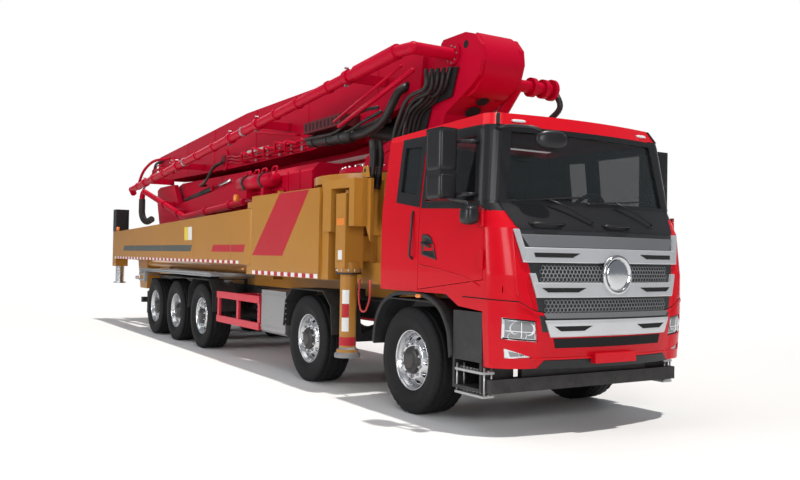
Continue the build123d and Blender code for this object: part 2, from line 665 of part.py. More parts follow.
# ---------------------------------------------------------------- outriggers
INNER_W = BEAM_W - 2 * BEAM_WALL - 2 * RUN
INNER_H = BEAM_H - 2 * BEAM_WALL - 2 * RUN
for side, sign in (("left", 1), ("right", -1)):
    x = LEG_X[side]
    with BuildPart() as outer_beam:
        block(x - BEAM_W / 2, x + BEAM_W / 2, -sign * 860, sign * 900, BEAM_Z - BEAM_H / 2,
              BEAM_Z + BEAM_H / 2)
        block(x - BEAM_W / 2 + BEAM_WALL, x + BEAM_W / 2 - BEAM_WALL, -sign * 870, sign * 910,
              BEAM_Z - BEAM_H / 2 + BEAM_WALL, BEAM_Z + BEAM_H / 2 - BEAM_WALL, mode=Mode.SUBTRACT)
    save(outer_beam, f"outrigger_beam_{side}")
    leg_in, leg_out = LEG_Y - LEG_SIZE / 2, LEG_Y + LEG_SIZE / 2
    with BuildPart() as inner_beam:
        block(x - INNER_W / 2, x + INNER_W / 2, -sign * 840, sign * (leg_in + 10), BEAM_Z - INNER_H / 2,
              BEAM_Z + INNER_H / 2)
        block(x - LEG_SIZE / 2, x + LEG_SIZE / 2, sign * leg_in, sign * leg_out, LEG_LOW, LEG_TOP)
        upright(x, sign * LEG_Y, LEG_LOW - 1, LEG_TOP - 60, JACK_R + RUN, mode=Mode.SUBTRACT)
        upright(x, sign * LEG_Y, LEG_TOP, LEG_TOP + 40, 55)
    save(inner_beam, f"outrigger_leg_{side}")
    with BuildPart() as jack:
        upright(x, sign * LEG_Y, FOOT_LOW + FOOT_T, LEG_TOP - 100, JACK_R)
        upright(x, sign * LEG_Y, FOOT_LOW, FOOT_LOW + FOOT_T, FOOT_R)
        upright(x, sign * LEG_Y, FOOT_LOW + FOOT_T, FOOT_LOW + 90, JACK_R + 30)
    save(jack, f"front_jack_{side}")

    column_x = REAR_END + COLUMN_SIZE / 2
    column_y = SIDE_Y - 30 - COLUMN_SIZE / 2
    with BuildPart() as swing_arm:
        side_plate([(SWING_X, ARM_LOW), (SWING_X, ARM_TOP_FRONT), (REAR_END + 150, ARM_TOP_REAR),
                    (REAR_END + 150, ARM_LOW)], sign * (SWING_Y - SWING_R), sign * (SWING_Y + SWING_R))
        upright(SWING_X, sign * SWING_Y, ARM_LOW, ARM_TOP_FRONT, SWING_R)
        upright(SWING_X, sign * SWING_Y, ARM_LOW - 5, ARM_TOP_FRONT + 5, SWING_PIN_R + RUN,
                mode=Mode.SUBTRACT)
        block(column_x - COLUMN_SIZE / 2, column_x + COLUMN_SIZE / 2, sign * (column_y - COLUMN_SIZE / 2),
              sign * (column_y + COLUMN_SIZE / 2), COLUMN_LOW, COLUMN_TOP)
        upright(column_x, sign * column_y, COLUMN_LOW - 1, COLUMN_TOP - 40, REAR_JACK_R + RUN,
                mode=Mode.SUBTRACT)
    save(swing_arm, f"swing_arm_{side}")
    with BuildPart() as rear_jack:
        upright(column_x, sign * column_y, REAR_FOOT_LOW + FOOT_T, COLUMN_TOP - 80, REAR_JACK_R)
        upright(column_x, sign * column_y, REAR_FOOT_LOW, REAR_FOOT_LOW + FOOT_T, COLUMN_SIZE / 2)
    save(rear_jack, f"rear_jack_{side}")

# ---------------------------------------------------------------- hopper and pump
HOPPER_SIDE = ((HOPPER_FRONT, HOPPER_TOP), (HOPPER_REAR, HOPPER_TOP), (HOPPER_REAR + 250, HOPPER_LOW),
               (HOPPER_FRONT, HOPPER_LOW))
HOPPER_CAVITY = ((HOPPER_FRONT - HOPPER_WALL, HOPPER_TOP + 1), (HOPPER_REAR + HOPPER_WALL, HOPPER_TOP + 1),
                 (HOPPER_REAR + 250 + HOPPER_WALL, HOPPER_LOW + HOPPER_WALL),
                 (HOPPER_FRONT - HOPPER_WALL, HOPPER_LOW + HOPPER_WALL))
GRATE_X = HOPPER_FRONT - 20
GRATE_Z = HOPPER_TOP + 25
GRATE_PIN_R = 12
with BuildPart() as hopper:
    side_plate(HOPPER_SIDE, -HOPPER_Y, HOPPER_Y)
    side_plate(HOPPER_CAVITY, -HOPPER_Y + HOPPER_WALL, HOPPER_Y - HOPPER_WALL, mode=Mode.SUBTRACT)
    for sign in (1, -1):
        block(HOPPER_FRONT, FRAME_REAR, sign * 300, sign * 420, 850, 980)
        block(HOPPER_REAR, HOPPER_FRONT, sign * HOPPER_Y, sign * (HOPPER_Y + 40), HOPPER_TOP - 40, HOPPER_TOP)
        for y in (560, 600):
            block(HOPPER_FRONT - 40, HOPPER_FRONT, sign * y, sign * (y + 12), HOPPER_TOP - 30,
                  HOPPER_TOP + 50)
    crosswise(GRATE_X, GRATE_Z, -630, 630, GRATE_PIN_R + RUN, mode=Mode.SUBTRACT)
save(hopper, "hopper")

with BuildPart() as hopper_grate:
    for y in range(-520, 521, 80):
        block(HOPPER_REAR + 60, GRATE_X, y - 5, y + 5, HOPPER_TOP + 6, HOPPER_TOP + 42)
    for x in (HOPPER_REAR + 60, HOPPER_REAR + 330, HOPPER_REAR + 600):
        block(x, x + 12, -525, 525, HOPPER_TOP + 6, HOPPER_TOP + 42)
    crosswise(GRATE_X, GRATE_Z, -620, 620, GRATE_PIN_R)
save(hopper_grate, "hopper_grate")

with BuildPart() as pump_unit:
    for sign in (1, -1):
        crossing = WATER_BOX_X + 50
        rod((HOPPER_FRONT, sign * CYLINDER_Y, CYLINDER_Z), (crossing, sign * CYLINDER_Y, CYLINDER_Z),
            CYLINDER_R)
        rod((WATER_BOX_X + 350, sign * CYLINDER_Y, CYLINDER_Z), (-6700, sign * CYLINDER_Y, CYLINDER_Z), 80)
    block(WATER_BOX_X, WATER_BOX_X + 400, -RAIL_OUT, RAIL_OUT, SUB_TOP, SUB_TOP + 280)
    block(-6800, -6700, -RAIL_OUT, RAIL_OUT, SUB_TOP, SUB_TOP + 240)
    rod((HOPPER_FRONT, -560, 1330), (PEDESTAL_REAR, -560, 1330), PIPE_R)
    for x in (-5000, -8000, -10500):
        block(x - 30, x + 30, -600, -520, DECK_TOP if x < -6100 else SUB_TOP, 1290)
        if x > -6100:
            block(x - 30, x + 30, -600, -RAIL_OUT, SUB_TOP - 60, SUB_TOP)
save(pump_unit, "pump_unit")

# ---------------------------------------------------------------- turret
CHEEK = ((-2750, BEARING_TOP), (-2620, 2900), (-1750, 3120), (-1130, 3290), (-1010, 3700), (-880, 4060),
         (-840, 4095), (-400, 4095), (-230, 4040), (-110, 3900), (-90, 3740), (-150, 3570), (-290, 3470),
         (-780, 3230), (-880, 2960), (-980, BEARING_TOP))
with BuildPart() as turret:
    upright(SLEW_X, 0, BEARING_TOP, BEARING_TOP + 70, 880)
    for sign in (1, -1):
        side_plate(CHEEK, sign * CHEEK_Y, sign * (CHEEK_Y + CHEEK_T))
    side_plate([(-980, BEARING_TOP), (-880, 2960), (-780, 3230), (-330, 3450), (-350, 3485), (-800, 3260),
                (-910, 2960), (-1010, BEARING_TOP)], -CHEEK_Y - 5, CHEEK_Y + 5)
    # rounded cap under the boom's first pivot
    with BuildSketch(Plane.XZ.offset(-CHEEK_Y - 5)) as cap:
        with Locations((at(CAP_CENTRE[0]), CAP_CENTRE[1])):
            Circle(CAP_R)
            Circle(CAP_R - CAP_T, mode=Mode.SUBTRACT)
        Polygon(*[(at(x), z) for x, z in ((-460, 3750), (-275, 4070), (-275, 4200), (-1500, 4200),
                                          (-1500, 3200), (-690, 3200), (-640, 3438))],
                align=None, mode=Mode.SUBTRACT)
    extrude(cap.sketch, amount=2 * CHEEK_Y + 10)
    crosswise(PIVOT_0[0], PIVOT_0[1], -CHEEK_Y - CHEEK_T - 12, CHEEK_Y + CHEEK_T + 12, 85)
    crosswise(BARREL_EYE[0], BARREL_EYE[1], -CHEEK_Y - 5, CHEEK_Y + 5, 45)
    side_plate([(-2700, BEARING_TOP + 60), (-2600, 2880), (-2560, 2880), (-2660, BEARING_TOP + 60)],
               -CHEEK_Y - 5, CHEEK_Y + 5)
    # delivery pipe up the left cheek, and its flanged elbow at the pivot
    rod((-1250, 400, BEARING_TOP + 60), (-330, 400, 3570), PIPE_R)
    rod((-330, CHEEK_Y + CHEEK_T - 10, 3570), (-330, 880, 3570), PIPE_R)
    couplings([((-330, 600, 3570), (0, 1, 0)), ((-330, 780, 3570), (0, 1, 0))], 112, 60)
save(turret, "turret")

with BuildPart() as lift_barrel:
    direction = (ROD_EYE[0] - BARREL_EYE[0], ROD_EYE[1] - BARREL_EYE[1])
    span = (direction[0] ** 2 + direction[1] ** 2) ** 0.5
    along = (direction[0] / span, direction[1] / span)
    def on_lift(distance):
        """Point on the lift cylinder's axis, counted from its lower eye."""
        return BARREL_EYE[0] + along[0] * distance, 0, BARREL_EYE[1] + along[1] * distance
    rod(on_lift(60), on_lift(span - 260), LIFT_BARREL_R)
    crosswise(BARREL_EYE[0], BARREL_EYE[1], -75, 75, 90)
    crosswise(BARREL_EYE[0], BARREL_EYE[1], -90, 90, 45 + RUN, mode=Mode.SUBTRACT)
    rod(on_lift(300), on_lift(span - 200), LIFT_ROD_R + RUN, mode=Mode.SUBTRACT)
save(lift_barrel, "lift_barrel")

with BuildPart() as lift_rod:
    rod(on_lift(330), on_lift(span - 40), LIFT_ROD_R)
    crosswise(ROD_EYE[0], ROD_EYE[1], -75, 75, 90)
    crosswise(ROD_EYE[0], ROD_EYE[1], -150, 150, 50)
save(lift_rod, "lift_rod")


# ---------------------------------------------------------------- boom arms
def brackets(places, y0, y1, thickness=50, height=120):
    """Pipe brackets between an arm's side and its pipe: (x, z) places."""
    for x, z in places:
        block(x - thickness / 2, x + thickness / 2, y0, y1, z - height / 2, z + height / 2)


FOLD_PIN_R = 95
TIP_PIN_R = 75
ARM_5_IN = PLANE_5[0] + 130
PIPE_5 = ((-6450, PLANE_5[0], 2470), (-9750, PLANE_5[0], 2310), (-12420, -706, 3009), (-12420, -706, 2800))
PIPE_5_R = 60
near_front = (-950, NEAR_PIPE_Y, 3905)
near_rear = (-12790, NEAR_PIPE_Y, 3035)
with BuildPart() as arm_1:
    side_plate([(-620, 4000), (-1300, 4040), (-1350, 3540), (-620, 3670)], -ROOT_Y, ROOT_Y)
    crosswise(*PIVOT_0, -ROOT_Y, ROOT_Y, 215)
    side_plate([(-1250, 4085), (-7000, 4090), (-12500, 3800), (-12620, 3680), (-12600, 3330),
                (-12400, 3250), (-11400, 3210), (-7500, 3165),
                (-4300, 3165), (-2900, 3250), (-1350, 3520)], -ARM_1_Y, ARM_1_Y)
    crosswise(*PIVOT_1, -ARM_1_Y, ARM_1_Y, 310)
    crosswise(*PIVOT_1, ARM_1_Y, PLANE_2[0] - 5, 150)
    crosswise(*PIVOT_1, ARM_1_Y, PLANE_2[1] + 20, FOLD_PIN_R)
    # slot that the lift cylinder works in
    side_plate([(-400, 3000), (-400, 4200), (-1150, 4200), (-1150, 3930), (-3350, 3700), (-3500, 3500),
                (-3500, 3000)], -165, 165, mode=Mode.SUBTRACT)
    crosswise(*PIVOT_0, -ROOT_Y - 5, ROOT_Y + 5, 85 + RUN, mode=Mode.SUBTRACT)
    # clamped delivery pipe down the right side
    rod((PIVOT_0[0], -330, PIVOT_0[1]), (PIVOT_0[0], NEAR_PIPE_Y, PIVOT_0[1]), PIPE_R)
    rod((PIVOT_0[0], NEAR_PIPE_Y, PIVOT_0[1]), near_front, PIPE_R)
    rod(near_front, near_rear, PIPE_R)
    rod(near_front, between(near_front, near_rear, 0.08), PIPE_R + 20)
    for x, y, z in ((PIVOT_0[0], NEAR_PIPE_Y, PIVOT_0[1]), near_front, near_rear):
        with Locations((at(x), y, z)):
            Sphere(PIPE_R + 4)
    rod(near_rear, (-12640, NEAR_PIPE_Y, 2945), PIPE_R)
    slope = (near_rear[0] - near_front[0], 0, near_rear[2] - near_front[2])
    couplings([(between(near_front, near_rear, share), slope) for share in (0.1, 0.35, 0.45, 0.7, 0.9)])
    brackets([between(near_front, near_rear, share)[::2] for share in (0.1, 0.35, 0.7, 0.88)],
             -ARM_1_Y + 5, NEAR_PIPE_Y)
    crosswise(*PIVOT_1, -ARM_1_Y - 40, -ARM_1_Y, 180)
save(arm_1, "arm_1")

with BuildPart() as arm_2:
    side_plate([(-11400, 3700), (-11400, 3330), (-7000, 3080), (-1950, 3110), (-1950, 3500),
                (-7000, 3620)], *PLANE_2)
    crosswise(*PIVOT_1, *PLANE_2, 230)
    crosswise(*PIVOT_1, *PLANE_2, FOLD_PIN_R + RUN, mode=Mode.SUBTRACT)
    crosswise(*PIVOT_2, *PLANE_2, 220)
    crosswise(*PIVOT_2, PLANE_2[1], PLANE_3[0] - 5, 130)
    crosswise(*PIVOT_2, PLANE_2[1], PLANE_3[1] + 20, FOLD_PIN_R)
save(arm_2, "arm_2")

with BuildPart() as arm_3:
    side_plate([(-1950, 3500), (-1950, 3110), (-5900, 3020), (-11600, 2560), (-11600, 2950),
                (-6500, 3420)], *PLANE_3)
    crosswise(*PIVOT_2, *PLANE_3, 215)
    crosswise(*PIVOT_2, *PLANE_3, FOLD_PIN_R + RUN, mode=Mode.SUBTRACT)
    crosswise(*PIVOT_3, *PLANE_3, 215)
    crosswise(*PIVOT_3, PLANE_4[1] + 5, PLANE_3[0], 130)
    crosswise(*PIVOT_3, PLANE_4[0] - 20, PLANE_3[0], FOLD_PIN_R)
save(arm_3, "arm_3")

with BuildPart() as arm_4:
    side_plate([(-11600, 2960), (-11600, 2540), (-10900, 2275), (-6900, 2275), (-6350, 2460),
                (-6350, 2830), (-7000, 3060), (-10900, 3090)], *PLANE_4)
    crosswise(*PIVOT_3, *PLANE_4, 210)
    crosswise(*PIVOT_3, *PLANE_4, FOLD_PIN_R + RUN, mode=Mode.SUBTRACT)
    crosswise(*PIVOT_4, *PLANE_4, 200)
    crosswise(*PIVOT_4, PLANE_5[1] + 5, PLANE_4[0], 120)
    crosswise(*PIVOT_4, ARM_5_IN - 20, PLANE_4[0], TIP_PIN_R)
    rod((-10700, -215, 2700), (-8900, -215, 2860), 62)
save(arm_4, "arm_4")

with BuildPart() as arm_5:
    side_plate([(-6350, 2800), (-6350, 2470), (-8800, 2330), (-11000, 2235), (-12050, 2225),
                (-12250, 2700), (-12250, 3000), (-12050, 3060), (-11000, 3060), (-10600, 2620),
                (-7200, 2850)], ARM_5_IN, PLANE_5[1])
    crosswise(*PIVOT_4, ARM_5_IN, PLANE_5[1], 190)
    crosswise(*PIVOT_4, ARM_5_IN, PLANE_5[1], TIP_PIN_R + RUN, mode=Mode.SUBTRACT)
    pipe(PIPE_5, [400, 150], PIPE_5_R)
    for start, end, share in ((0, 1, 0.2), (0, 1, 0.6), (1, 2, 0.14), (1, 2, 0.45)):
        x, y, z = between(PIPE_5[start], PIPE_5[end], share)
        slope = tuple(b - a for a, b in zip(PIPE_5[start], PIPE_5[end]))
        couplings([((x, y, z), slope)], PIPE_5_R + 20, 80)
        brackets([(x, z)], y, PLANE_5[1] - 20)
save(arm_5, "arm_5")

# rubber end hose, hung from the last pipe and looped up behind the boom's tip
HOSE_R = 72
HOSE = ((-12420, -706, 2800 - RUN), (-12420, -706, 2190), (-11960, -600, 2330))
with BuildPart() as end_hose:
    pipe(HOSE, [260], HOSE_R)
save(end_hose, "end_hose")
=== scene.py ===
"""Dress of the truck-mounted concrete pump: paints, panel details, tyres, pipes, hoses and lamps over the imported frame.

Places are in metres. Those said to be from the first axle lie first_axle behind the frame's own x.
"""

import math

import bmesh
import bpy
import numpy as np
from mathutils import Matrix, Vector


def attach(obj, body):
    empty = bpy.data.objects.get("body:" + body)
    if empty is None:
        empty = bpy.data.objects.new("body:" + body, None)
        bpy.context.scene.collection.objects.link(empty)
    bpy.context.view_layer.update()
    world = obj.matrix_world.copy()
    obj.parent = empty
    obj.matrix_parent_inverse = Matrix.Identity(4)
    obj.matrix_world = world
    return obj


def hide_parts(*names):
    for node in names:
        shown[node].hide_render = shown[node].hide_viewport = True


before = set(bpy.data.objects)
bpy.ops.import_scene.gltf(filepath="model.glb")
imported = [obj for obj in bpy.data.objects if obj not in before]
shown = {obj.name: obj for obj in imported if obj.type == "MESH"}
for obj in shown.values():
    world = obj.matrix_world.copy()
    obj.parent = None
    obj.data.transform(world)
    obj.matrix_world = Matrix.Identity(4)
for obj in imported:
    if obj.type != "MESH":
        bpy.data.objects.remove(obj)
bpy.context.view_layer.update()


# ------------------------------------------------------------------ the place it stands in
# A pale floor under a high sun, with soft lamps overhead, ahead, at both sides and behind; the sky
# is plain white to the camera and dims to a fill light for everything else.
def shader_node(tree, kind, inputs, **fields):
    """Shader node with its fields set, and each input given a value or joined to another node's socket."""
    made = tree.nodes.new(f"ShaderNode{kind}")
    for field, value in fields.items():
        setattr(made, field, value)
    for key, value in inputs.items():
        if isinstance(value, bpy.types.NodeSocket):
            tree.links.new(value, made.inputs[key])
        else:
            made.inputs[key].default_value = value
    return made


def camera_axes(yaw, pitch, roll):
    """Forward from yaw and pitch, right as forward crossed with up, then both turned about forward by roll."""
    forward = Vector((math.cos(yaw) * math.cos(pitch), math.sin(yaw) * math.cos(pitch), math.sin(pitch)))
    level = Vector((math.sin(yaw), -math.cos(yaw), 0.0))
    above = level.cross(forward)
    right = level * math.cos(roll) + above * math.sin(roll)
    return forward, right, right.cross(forward)


view = bpy.data.cameras.new("three_quarter_view")
view.lens = 37.70
view.sensor_width = 36.0
view.clip_start = 0.1
view.clip_end = 200.0
viewer = bpy.data.objects.new("three_quarter_view", view)
forward, right, above = camera_axes(math.radians(148.334), math.radians(1.157), math.radians(1.008))
facing = Matrix((right, above, -forward)).transposed().to_4x4()
facing.translation = (12.798, -5.766, 1.573)
viewer.matrix_world = facing
bpy.context.scene.collection.objects.link(viewer)
bpy.context.scene.camera = viewer
bpy.context.scene.view_settings.view_transform = "Standard"


def soft_lamp(name, place, target, size, watts):
    """Square area lamp at a place, turned so that its face looks at the target."""
    lamp = bpy.data.lights.new(name, "AREA")
    lamp.size = size
    lamp.energy = watts
    holder = bpy.data.objects.new(name, lamp)
    holder.location = place
    holder.rotation_euler = (Vector(target) - Vector(place)).to_track_quat("-Z", "Y").to_euler()
    bpy.context.scene.collection.objects.link(holder)


soft_lamp("ceiling", (1.0, -3.0, 14.0), (0.0, 0.0, 1.5), 10.0, 520)
soft_lamp("ahead", (19.0, -7.0, 6.0), (4.0, 0.0, 1.6), 6.0, 900)
soft_lamp("right_side", (2.0, -16.0, 5.0), (-1.0, 0.0, 1.8), 6.0, 1000)
soft_lamp("left_side", (-4.0, 15.0, 8.0), (0.0, 0.0, 2.0), 8.0, 500)
soft_lamp("behind", (-18.0, 2.0, 7.0), (-5.0, 0.0, 2.0), 8.0, 350)
sunlight = bpy.data.lights.new("sunlight", "SUN")
sunlight.energy = 3.2
sunlight.angle = 0.02
sunlight.color = (1.0, 0.97, 0.92)
sun = bpy.data.objects.new("sunlight", sunlight)
sun.rotation_euler = (Vector((0, 0, 0)) - Vector((0.20, 0.12, 1.0))).to_track_quat("-Z", "Y").to_euler()
bpy.context.scene.collection.objects.link(sun)

sky = bpy.data.worlds.new("pale_sky")
bpy.context.scene.world = sky
sky.use_nodes = True
sky.node_tree.nodes.clear()
white = shader_node(sky.node_tree, "Background", {"Color": (1.0, 1.0, 1.0, 1), "Strength": 1.0})
fill = shader_node(sky.node_tree, "Background", {"Color": (0.86, 0.91, 1.0, 1), "Strength": 0.26})
ray = shader_node(sky.node_tree, "LightPath", {})
direct = shader_node(sky.node_tree, "Math",
                     {0: ray.outputs["Is Camera Ray"], 1: ray.outputs["Is Transmission Ray"]}, operation="MAXIMUM")
choice = shader_node(sky.node_tree, "MixShader", {0: direct.outputs[0], 1: fill.outputs[0], 2: white.outputs[0]})
shader_node(sky.node_tree, "OutputWorld", {"Surface": choice.outputs[0]})

ground = bpy.data.meshes.new("floor")
reach, drop = 70, -0.001
ground.from_pydata([(-reach, -reach, drop), (reach, -reach, drop), (reach, reach, drop), (-reach, reach, drop)], [],
                   [(0, 1, 2, 3)])
floor = bpy.data.objects.new("floor", ground)
bpy.context.scene.collection.objects.link(floor)
# the floor's own colour fades with the distance from the machine into the sky's white
floor_grey = bpy.data.materials.new("floor_grey")
floor_grey.use_nodes = True
matt = floor_grey.node_tree.nodes["Principled BSDF"]
matt.inputs["Base Color"].default_value = (0.66, 0.66, 0.66, 1)
matt.inputs["Roughness"].default_value = 0.9
matt.inputs["Specular IOR Level"].default_value = 0.1
far = shader_node(floor_grey.node_tree, "Emission", {"Color": (1.0, 1.0, 1.0, 1)})
where = shader_node(floor_grey.node_tree, "TexCoord", {})
away = shader_node(floor_grey.node_tree, "VectorMath", {0: where.outputs["Object"]}, operation="LENGTH")
haze = shader_node(floor_grey.node_tree, "MapRange",
                   {"From Min": 9.0, "From Max": 17.0, "Value": away.outputs["Value"]}, interpolation_type="SMOOTHSTEP")
ray = shader_node(floor_grey.node_tree, "LightPath", {})
both = shader_node(floor_grey.node_tree, "Math", {0: haze.outputs[0], 1: ray.outputs["Is Camera Ray"]},
                   operation="MULTIPLY")
blend = shader_node(floor_grey.node_tree, "MixShader", {0: both.outputs[0], 1: matt.outputs[0], 2: far.outputs[0]})
floor_grey.node_tree.links.new(blend.outputs[0], floor_grey.node_tree.nodes["Material Output"].inputs["Surface"])
ground.materials.append(floor_grey)


# ------------------------------------------------------------------ cab shell and doors
# Pressed steel panels in gloss coach red over primer; the paint is washed often, so only the
# lowest edges and the wheel side hold road film. Doors hang on the front posts.
def paint(name, colour, roughness, film, film_height=1.4, coat=0.0, metal=0.0, grain=9.0, relief=0.004,
          film_colour=(0.36, 0.31, 0.25), shine=0.35):
    """Finish whose colour wanders by a few percent with soft noise, under a road film.

    The film's share is (height fade) times (fine speckle noise) times film, the fade being 1
    on the ground and 0.12 at film_height. Roughness rises with the film.
    """
    made = bpy.data.materials.new(name)
    made.use_nodes = True
    tree = made.node_tree
    shader = tree.nodes["Principled BSDF"]
    for key, value in (("Metallic", metal), ("Coat Weight", coat), ("Coat Roughness", 0.08),
                       ("Specular IOR Level", shine)):
        shader.inputs[key].default_value = value
    place = shader_node(tree, "TexCoord", {}).outputs["Object"]
    broad = shader_node(tree, "TexNoise", {"Scale": 1.3, "Detail": 4.0, "Vector": place})
    darker = (*[c * 0.9 for c in colour], 1)
    lighter = (*[min(1, c * 1.08 + 0.002) for c in colour], 1)
    wander = shader_node(tree, "Mix", {"A": darker, "B": lighter, "Factor": broad.outputs["Fac"]}, data_type="RGBA")
    speckle = shader_node(tree, "TexNoise", {"Scale": grain, "Detail": 8.0, "Roughness": 0.7, "Vector": place})
    height = shader_node(tree, "SeparateXYZ", {0: place}).outputs["Z"]
    fade = shader_node(tree, "MapRange",
                       {"From Max": film_height, "To Min": film, "To Max": film * 0.12, "Value": height})
    patchy = shader_node(tree, "MapRange", {"From Min": 0.35, "From Max": 0.7, "Value": speckle.outputs["Fac"]})
    share = shader_node(tree, "Math", {0: fade.outputs[0], 1: patchy.outputs[0]}, operation="MULTIPLY").outputs[0]
    dusty = shader_node(tree, "Mix", {"A": wander.outputs["Result"], "B": (*film_colour, 1), "Factor": share},
                        data_type="RGBA")
    dull = shader_node(tree, "MapRange", {"To Min": roughness, "To Max": min(1.0, roughness + 0.55), "Value": share})
    bump = shader_node(tree, "Bump", {"Strength": 0.15, "Distance": relief, "Height": speckle.outputs["Fac"]})
    for key, source in (("Base Color", dusty.outputs["Result"]), ("Roughness", dull.outputs[0]),
                        ("Normal", bump.outputs[0])):
        tree.links.new(source, shader.inputs[key])
    return made


def dress(node, *finishes):
    """Puts finishes on a CAD node in place of what it came with."""
    held = shown[node].data.materials
    held.clear()
    for finish in finishes:
        held.append(finish)


def redress(node, finish, pick):
    """Gives another finish to the node's faces whose centres (x from the first axle, y, z) pass the test."""
    mesh = shown[node].data
    centres = np.empty(len(mesh.polygons) * 3)
    mesh.polygons.foreach_get("center", centres)
    turn = np.array(shown[node].matrix_world)
    x, y, z = (centres.reshape(-1, 3) @ turn[:3, :3].T + turn[:3, 3]).T
    marks = np.zeros(len(mesh.polygons), dtype=np.int32)
    mesh.polygons.foreach_get("material_index", marks)
    mesh.materials.append(finish)
    marks[pick(x - first_axle, y, z)] = len(mesh.materials) - 1
    mesh.polygons.foreach_set("material_index", marks)


first_axle = 5.655
coach_red = paint("coach_red", (0.54, 0.001, 0.010), 0.25, 0.04, 0.9, coat=0.12, shine=0.14)
for part in ("cab_shell", "door_left", "door_right", "front_bumper"):
    dress(part, coach_red)

# ------------------------------------------------------------------ boom and turret
# Welded high-tensile box sections, sprayed in one crimson enamel after welding; the turret
# that carries them is the same steel and paint. The first arm's underside is painted a darker, matt crimson as shade.
crimson = paint("crimson_enamel", (0.44, 0.001, 0.022), 0.38, 0.0, 3.5, coat=0.0, shine=0.08)
# painted shade: a darker, matt copy of the crimson for the first arm's underside
crimson_painted_shade = paint("crimson_underside_painted_shade", (0.22, 0.001, 0.014), 0.75, 0.0, shine=0.0)
for part in ("turret", "arm_1", "arm_2", "arm_3", "arm_4", "arm_5", "oil_tank"):
    dress(part, crimson)
# the first arm's low faces behind the turret take the painted shade
redress("arm_1", crimson_painted_shade, lambda x, y, z: (z < 3.30) & (x < -2.0) & (abs(y) < 0.25))

# ------------------------------------------------------------------ pump body
# Folded plate pedestal, tank boxes, outriggers and hopper in ochre enamel with an orange-peel
# skin; concrete dust sits in it, most of all round the hopper.
ochre = paint("ochre_enamel", (0.40, 0.178, 0.024), 0.33, 0.16, 2.2, coat=0.12, film_colour=(0.36, 0.31, 0.24),
              shine=0.2)
for part in ("pedestal", "side_boxes", "swing_arm_left", "swing_arm_right", "outrigger_beam_left",
             "outrigger_beam_right", "outrigger_leg_left", "outrigger_leg_right", "front_jack_left",
             "front_jack_right", "hopper", "hopper_grate", "pump_unit"):
    dress(part, ochre)

# ------------------------------------------------------------------ frame and running gear
# Rolled rails, forged axles and pressed brackets in satin black chassis paint, greyed by road film.
chassis_black = paint("chassis_black", (0.016, 0.016, 0.018), 0.5, 0.4, 1.3, film_colour=(0.13, 0.12, 0.11))
for part in ("chassis_frame", "axles", "rear_underrun", "front_underrun", "engine_block", "knuckle_1_left",
             "knuckle_1_right", "knuckle_2_left", "knuckle_2_right", "lift_barrel"):
    dress(part, chassis_black)
guard_plastic = paint("guard_plastic", (0.012, 0.012, 0.013), 0.6, 0.25, 1.5, film_colour=(0.14, 0.13, 0.115))
dress("mudguards", guard_plastic)
deck_grey = paint("deck_grey", (0.30, 0.31, 0.32), 0.55, 0.4, 1.6)
dress("walkway", deck_grey)
dress("side_guards", paint("guard_rail_red", (0.55, 0.006, 0.030), 0.35, 0.15, 1.4))
tank_sheet = paint("tank_sheet", (0.33, 0.33, 0.34), 0.36, 0.15, 1.2, metal=0.75)
dress("side_tanks", tank_sheet)

# ------------------------------------------------------------------ rams
# Ground and chromed rods: the lift cylinder's and the two rear jacks', bright where they run in their sleeves.
chromed = paint("chromed_rod", (0.62, 0.63, 0.65), 0.12, 0.15, 1.0, metal=1.0)
for part in ("lift_rod", "rear_jack_left", "rear_jack_right"):
    dress(part, chromed)

# ------------------------------------------------------------------ end hose
# Wire-wound rubber placing hose, looped up behind the tip and tied back for the road.
hose_rubber = paint("hose_rubber", (0.018, 0.018, 0.019), 0.7, 0.12, 5.0, grain=30.0, relief=0.003)
dress("end_hose", hose_rubber)


# ------------------------------------------------------------------ cab glass
# Bonded and drop windows in dark tinted safety glass.
def tinted(name, colour, alpha):
    """Gloss sheet, smeared in places, that lets through what alpha leaves of the light."""
    made = bpy.data.materials.new(name)
    made.use_nodes = True
    tree = made.node_tree
    shader = tree.nodes["Principled BSDF"]
    for key, value in (("Base Color", (*colour, 1)), ("Alpha", alpha), ("Coat Weight", 0.5)):
        shader.inputs[key].default_value = value
    place = shader_node(tree, "TexCoord", {}).outputs["Object"]
    smear = shader_node(tree, "TexNoise", {"Scale": 3.0, "Vector": place})
    span = shader_node(tree, "MapRange", {"To Min": 0.03, "To Max": 0.12, "Value": smear.outputs["Fac"]})
    tree.links.new(span.outputs[0], shader.inputs["Roughness"])
    return made


safety_glass = tinted("safety_glass", (0.014, 0.018, 0.019), 0.50)
for part in ("cab_windows", "door_glass_left", "door_glass_right"):
    dress(part, safety_glass)
dress("cab_interior", paint("cab_lining", (0.05, 0.05, 0.055), 0.7, 0.0))


# ------------------------------------------------------------------ tyres
# Radial truck tyres for 22.5 inch rims: moulded rubber with four zigzag grooves, sipes across the
# shoulders and a thin rib on the wall. Wide singles on axles 1 to 3, narrower twins on 4 and 5.
def plain_mesh(name, points, faces, finishes, body, smooth=False, marks=None):
    """Piece from points and faces, with its body; marks holds a number into the finishes for each face."""
    mesh = bpy.data.meshes.new(name)
    mesh.from_pydata(np.asarray(points, float).reshape(-1, 3).tolist(), [], faces)
    for finish in finishes if isinstance(finishes, list) else [finishes]:
        mesh.materials.append(finish)
    if marks is not None:
        mesh.polygons.foreach_set("material_index", np.asarray(marks, dtype=np.int32).ravel())
    mesh.polygons.foreach_set("use_smooth", [smooth] * len(mesh.polygons))
    mesh.validate()
    piece = bpy.data.objects.new(name, mesh)
    bpy.context.scene.collection.objects.link(piece)
    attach(piece, body)
    return piece


